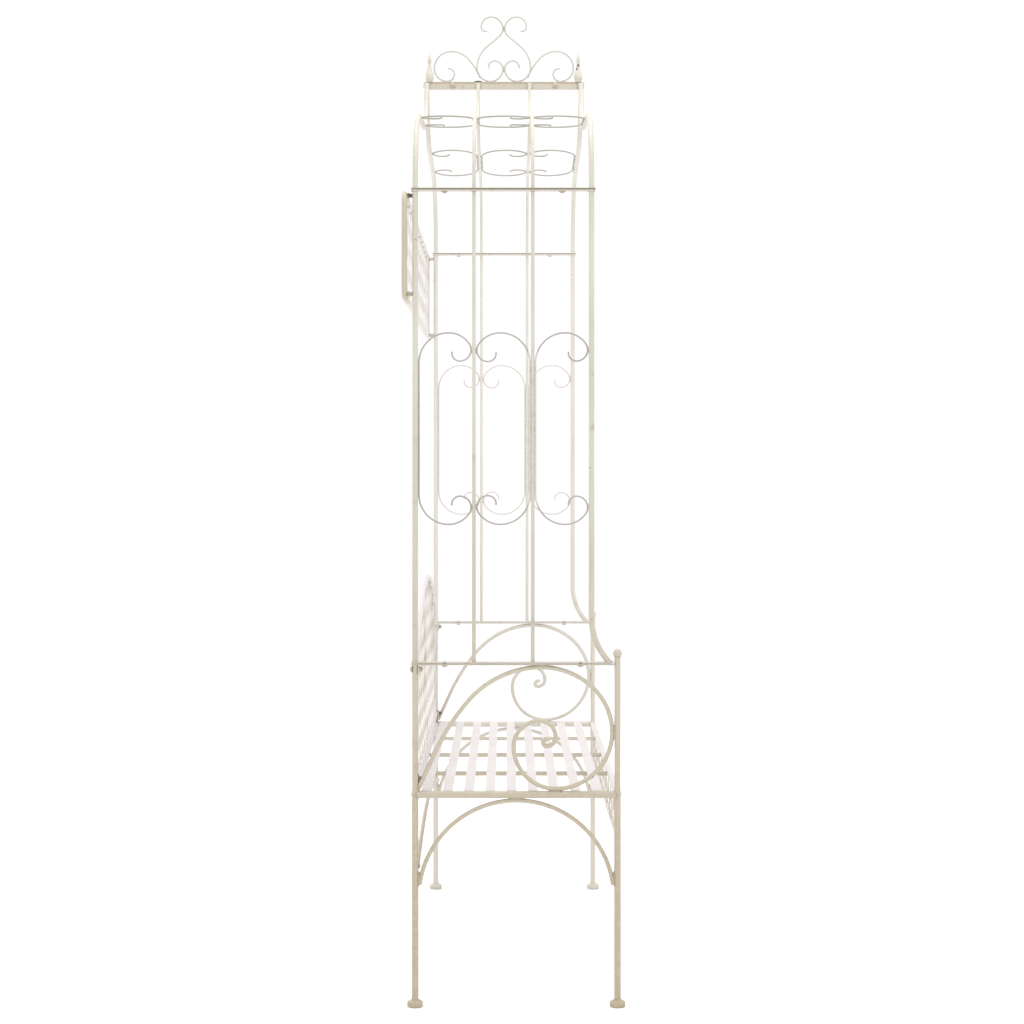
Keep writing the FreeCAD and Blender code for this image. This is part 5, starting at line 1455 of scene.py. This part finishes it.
@dataclass
class SeatBack(SubAssembly):
    """The arched back with its lattice, lugs and the low stretcher behind the seat."""

    lattice: Lattice = Lattice(
        y=SIZES.rear_y, bottom=0.51295, top=0.9188, half=0.60185, arch_radius=1.15065, corner_radius=0.05305
    )
    tail_z: float = 0.493
    plug_height: float = 0.003
    lug_depth: float = 0.001
    lug_weld: Bead = Bead(0.022, 0.003, SIZES.back_radius)
    stretcher_radius: float = 0.005
    stretcher_inset: float = 0.005
    stretcher_reach: float = SIZES.frame_x - SIZES.leg_radius * 0.75
    stretcher_foot: float = 0.3125
    stretcher_lean: float = -0.185
    rail_bead: float = 0.0019

    def dressed(self) -> Mapping[str, bpy.types.Material]:
        """Choose the finishes of the CAD nodes.

        Returns:
            The finish of each node, by its name.
        """
        return {
            "rear_stretcher": self.finishes.tube,
            **dict.fromkeys(("back_frame", "back_bottom_rail"), self.finishes.slat),
            **dict.fromkeys(("back_lattice", "back_lugs"), self.finishes.strip),
        }

    def build(self) -> None:
        """Weld the rail, strips, lugs and stretcher, and plug the tube's ends."""
        welds = self.welds("back_welds")
        plugs = Piece("back_tube_plugs", Slot.PAINT, self.finishes.turned)
        saddle = Template.saddle(SIZES.back_radius, SIZES.back_radius, self.rail_bead)
        ring = Template.ring(self.stretcher_radius, self.rail_bead)
        plug = Template.plug(SIZES.back_radius, self.plug_height)
        stretcher_y = SIZES.rear_y - self.stretcher_inset
        for side in Side:
            upright = Vector((side.value * SIZES.back_half, SIZES.rear_y, SIZES.back_bottom))
            welds.stamp(saddle, turned_to(upright, -side.value * ALONG, "X"))
            lug = Vector((upright.x, SIZES.lug_front + self.lug_depth, SIZES.back_bottom))
            welds.pair(lug, UP, ALONG, self.lug_weld)
            stretcher = Vector((side.value * self.stretcher_reach, stretcher_y, self.stretcher_foot))
            welds.stamp(ring, turned_to(stretcher, Vector((side.value, 0, self.stretcher_lean))))
            plugs.stamp(plug, turned_to(Vector((upright.x, SIZES.rear_y, self.tail_z)), -UP))
        self.lattice.tack(welds)
        welds.done()
        plugs.done()


@dataclass
class UpperPanel(SubAssembly):
    """The lattice panel behind the rear posts, under the roof."""

    lattice: Lattice = Lattice(y=0.2435, bottom=1.5922, top=1.8098, half=0.62166)

    def dressed(self) -> Mapping[str, bpy.types.Material]:
        """Choose the finishes of the CAD nodes.

        Returns:
            The finish of each node, by its name.
        """
        return {
            "upper_panel_frame": self.finishes.panel,
            "upper_panel_lattice": self.finishes.panel_strip,
            "upper_panel_spacers": self.finishes.bolt,
            "upper_panel_studs": self.finishes.steel,
        }

    def build(self) -> None:
        """Weld the strips to the bent tube."""
        welds = self.welds("upper_panel_welds")
        self.lattice.tack(welds)
        welds.done()


@dataclass
class Fasteners(SubAssembly):
    """Bolts with threaded ends, and chamfered nuts."""

    bolt_radius: float = 0.003
    pitch: float = 0.001
    nut_width: float = 0.010
    nut_bore: float = 0.0032
    nut_height: float = 0.005
    back_end: float = 0.003
    back_bolt_z: float = 0.753

    def dressed(self) -> Mapping[str, bpy.types.Material]:
        """Choose the finishes of the CAD nodes."""
        bolts = ("bar_bolts", "ridge_bolts")
        return {"back_bolts": self.finishes.nut, **dict.fromkeys(bolts, self.finishes.bolt)}

    def build(self) -> None:
        """Cut the threads and turn the nuts on."""
        threads = Piece("bolt_threads", Slot.FASTENER, self.finishes.nut)
        nuts = Piece("chamfered_nuts", Slot.FASTENER, self.finishes.nut, smooth=False)
        thread = Template.thread(self.bolt_radius, self.back_end, self.pitch)
        nut = Template.hex_nut(self.nut_width, self.nut_bore, self.nut_height)
        low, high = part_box("ridge_bar_right")
        for y in SIZES.outer_bay_middles:
            seat = Vector((high.x, y, (low.z + high.z) / 2))
            nuts.stamp(nut, turned_to(seat, ALONG))
        for side in Side:
            frame_x, back_x = side.value * SIZES.frame_x, side.value * SIZES.back_half
            for x, z in ((frame_x, self.back_bolt_z), (back_x, SIZES.back_bottom)):
                seat = Vector((x, SIZES.lug_front, z))
                nuts.stamp(nut, turned_to(seat, -ACROSS))
                threads.stamp(thread, turned_to(seat - self.nut_height * ACROSS, -ACROSS))
        threads.done()
        nuts.done("nuts")


@dataclass(frozen=True)
class Softbox:
    """A square lamp: its place and side in metres, and its power in watts."""

    name: str
    place: Triple
    side: float
    power: float


@dataclass
class Studio:
    """A pale floor, soft light and the camera at the photograph's place."""

    floor_radius: float = 40.0
    floor_sides: int = 96
    softboxes: tuple[Softbox, ...] = (
        Softbox("top_softbox", (-0.6, -0.4, 5.2), side=4.0, power=120.0),
        Softbox("rear_softbox", (3.6, 3.4, 3.0), side=3.0, power=70.0),
    )
    lamp_target: Triple = (0, 0, 1.2)
    world_strength: float = 1.06
    camera_place: Triple = (-4.945, 0.0139, 1.1776)
    camera_lens: float = 68.03
    camera_sensor: float = 36.0
    camera_shift: tuple[float, float] = (0.0047, -0.0321)
    camera_reach: float = 200.0

    def build(self) -> None:
        """Set the whole studio up."""
        self.lay_floor()
        self.light_room()
        for softbox in self.softboxes:
            self.hang_lamp(softbox)
        self.set_camera()

    def lay_floor(self) -> None:
        """Lay a round floor under the bench."""
        shape = bmesh.new()
        bmesh.ops.create_circle(shape, cap_ends=True, segments=self.floor_sides, radius=self.floor_radius)
        mesh = Template.closed(shape, "studio_floor")
        mesh.materials.append(PaleFloor().build())
        floor = bpy.data.objects.new("studio_floor", mesh)
        bpy.context.scene.collection.objects.link(floor)

    def light_room(self) -> None:
        """Fill the room with even white light."""
        world = bpy.data.worlds.new("white_room")
        world.use_nodes = True
        background = world.node_tree.nodes["Background"]
        background.inputs["Color"].default_value = (1.0, 1.0, 1.0, 1.0)
        background.inputs["Strength"].default_value = self.world_strength
        bpy.context.scene.world = world

    def hang_lamp(self, softbox: Softbox) -> None:
        """Hang a softbox that faces the bench.

        Args:
            softbox: its sizes.
        """
        light = bpy.data.lights.new(softbox.name, "AREA")
        light.shape, light.size, light.energy = "SQUARE", softbox.side, softbox.power
        lamp = bpy.data.objects.new(softbox.name, light)
        lamp.location = softbox.place
        toward = Vector(self.lamp_target) - Vector(softbox.place)
        lamp.rotation_euler = toward.to_track_quat("-Z", "Y").to_euler()
        bpy.context.scene.collection.objects.link(lamp)

    def set_camera(self) -> None:
        """Put the camera level, end-on to the bench."""
        lens = bpy.data.cameras.new("end_view")
        lens.lens, lens.sensor_width = self.camera_lens, self.camera_sensor
        lens.shift_x, lens.shift_y = self.camera_shift
        lens.clip_end = self.camera_reach
        camera = bpy.data.objects.new("end_view", lens)
        camera.location = self.camera_place
        camera.rotation_euler = (math.pi / 2, 0, -math.pi / 2)
        bpy.context.scene.collection.objects.link(camera)
        bpy.context.scene.camera = camera


def main() -> None:
    """Build the studio, then dress and detail every sub-assembly."""
    logging.basicConfig(level=logging.INFO, format="%(name)s: %(message)s")
    bpy.context.scene.view_settings.view_transform = "Standard"
    Studio().build()
    finishes = Finishes.mixed()
    for kind in (EndFrames, Trellises, Roof, Crest, Seat, Apron, SeatBack, UpperPanel, Fasteners):
        part = kind(finishes)
        part.dress()
        part.build()


if __name__ == "__main__":
    main()
